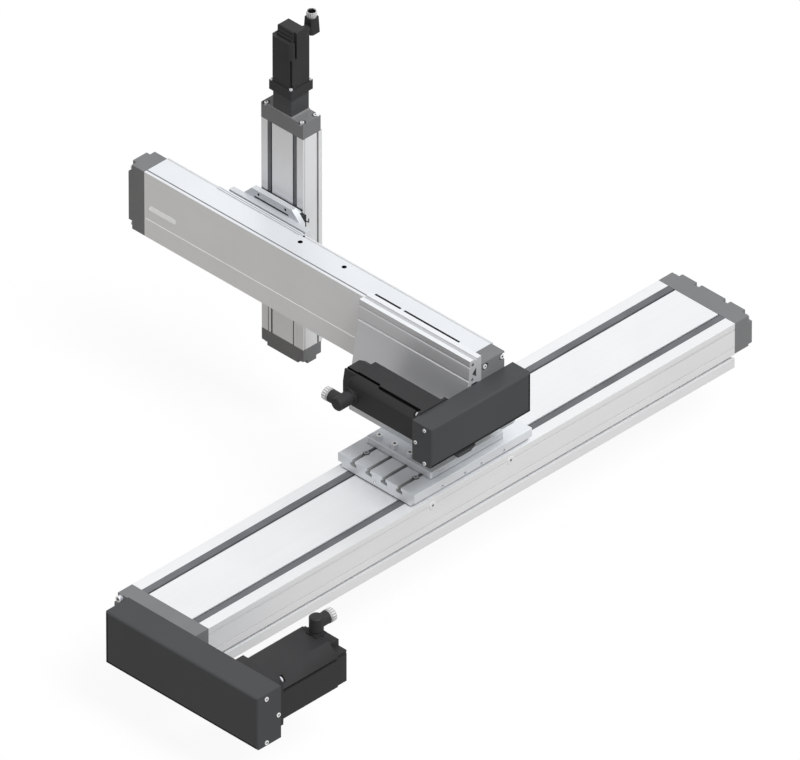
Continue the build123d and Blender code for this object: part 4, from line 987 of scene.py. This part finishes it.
for x, y in NUT_PLACES:
    section = [(y - NUT_FOOT, foot_z)] + [(y + half, z) for half, z in nut_side]
    section += [(y - half, z) for half, z in nut_side[:0:-1]]
    blocks.append((section, x - NUT_HALF, x + NUT_HALF))
    washers.append((disc(x, y, WASHER_RADIUS, 24), *WASHER_Z))
    flat_heads.append((Vector((x, y, FLAT_HEAD_SEAT)) / 1000, Vector((0, 0, 1)), *FLAT_HEAD))
finished("table_nuts", extruded("table_nuts", blocks, 0), [nut_steel], "x_slide",
         0.0003)
finished("table_nut_washers", extruded("table_nut_washers", washers, 2), [wiper_rubber], "x_slide",
         0)
# the nut screws' sides in the darker steel of the nuts: painted shade
grown("table_nut_screws", screw_tree(nut_screw_steel, socket_shade, nut_steel),
      seats_mesh("nut_seats", flat_heads), {"Socket Share": 0.42}, "x_slide")
nipple = [(NIPPLE_SEAT, Vector((-1, 0, 0)), *NIPPLE)]
grown("grease_nipple", heads, seats_mesh("nipple_seat", nipple),
      {"Socket Share": 0.4, "Rim Share": 0.3}, "x_slide")

# Knurled grips: fine ridges round the nickel ring of each motor connector, rolled in so that
# the ring can be turned by hand.
RIDGES = 16
RIDGE_WIDTH = 0.0013
RIDGE_LENGTH = 0.0080
RIDGE_SINK = 0.0007
PLAIN_END = 0.0010
QUARTER = math.pi / 2


def knurl_tree(material):
    """A ring of ridges round an axis, laid along x, y or z and moved to its place."""
    tree = new_tree("knurled_ring", (("Ridges", "Int", RIDGES), ("Ring Radius", "Float", 0.01),
                                     ("Ridge Width", "Float", RIDGE_WIDTH),
                                     ("Ridge Length", "Float", RIDGE_LENGTH),
                                     ("Turn", "Vector", (0, 0, 0)), ("Place", "Vector", (0, 0, 0))))
    nodes, links = tree.nodes, tree.links
    given, result = nodes.new("NodeGroupInput"), nodes.new("NodeGroupOutput")
    ring = nodes.new("GeometryNodeMeshCircle")
    links.new(given.outputs["Ridges"], ring.inputs["Vertices"])
    links.new(given.outputs["Ring Radius"], ring.inputs["Radius"])
    ridge = added(nodes, "GeometryNodeMeshCone", {"Vertices": 6, "Side Segments": 3})
    links.new(given.outputs["Ridge Width"], ridge.inputs["Radius Top"])
    links.new(given.outputs["Ridge Width"], ridge.inputs["Radius Bottom"])
    links.new(given.outputs["Ridge Length"], ridge.inputs["Depth"])
    around = nodes.new("GeometryNodeInstanceOnPoints")
    links.new(ring.outputs["Mesh"], around.inputs["Points"])
    links.new(ridge.outputs["Mesh"], around.inputs["Instance"])
    laid = nodes.new("GeometryNodeTransform")
    links.new(around.outputs[0], laid.inputs["Geometry"])
    links.new(given.outputs["Turn"], laid.inputs["Rotation"])
    links.new(given.outputs["Place"], laid.inputs["Translation"])
    real = nodes.new("GeometryNodeRealizeInstances")
    links.new(laid.outputs[0], real.inputs[0])
    finish = added(nodes, "GeometryNodeSetMaterial", {"Material": material})
    links.new(real.outputs[0], finish.inputs["Geometry"])
    links.new(finish.outputs[0], result.inputs["Geometry"])
    return tree


knurls = knurl_tree(ring_nickel)
for axis, (along, middle, radius) in RING_AXES.items():
    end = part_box(axis + "_motor_connector")[1][along]
    base = Vector((0, 0, 0))
    base[along] = end - PLAIN_END - RIDGE_LENGTH
    for i, k in enumerate([k for k in range(3) if k != along]):
        base[k] = middle[i]
    turn = ((0, QUARTER, 0), (-QUARTER, 0, 0), (0, 0, 0))[along]
    grown(axis + "_ring_knurl", knurls, bpy.data.meshes.new("knurl_seat"),
          {"Ring Radius": radius - RIDGE_SINK, "Turn": turn, "Place": tuple(base)},
          frame["nodes"][axis + "_motor_connector"]["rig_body"])

bpy.context.view_layer.update()
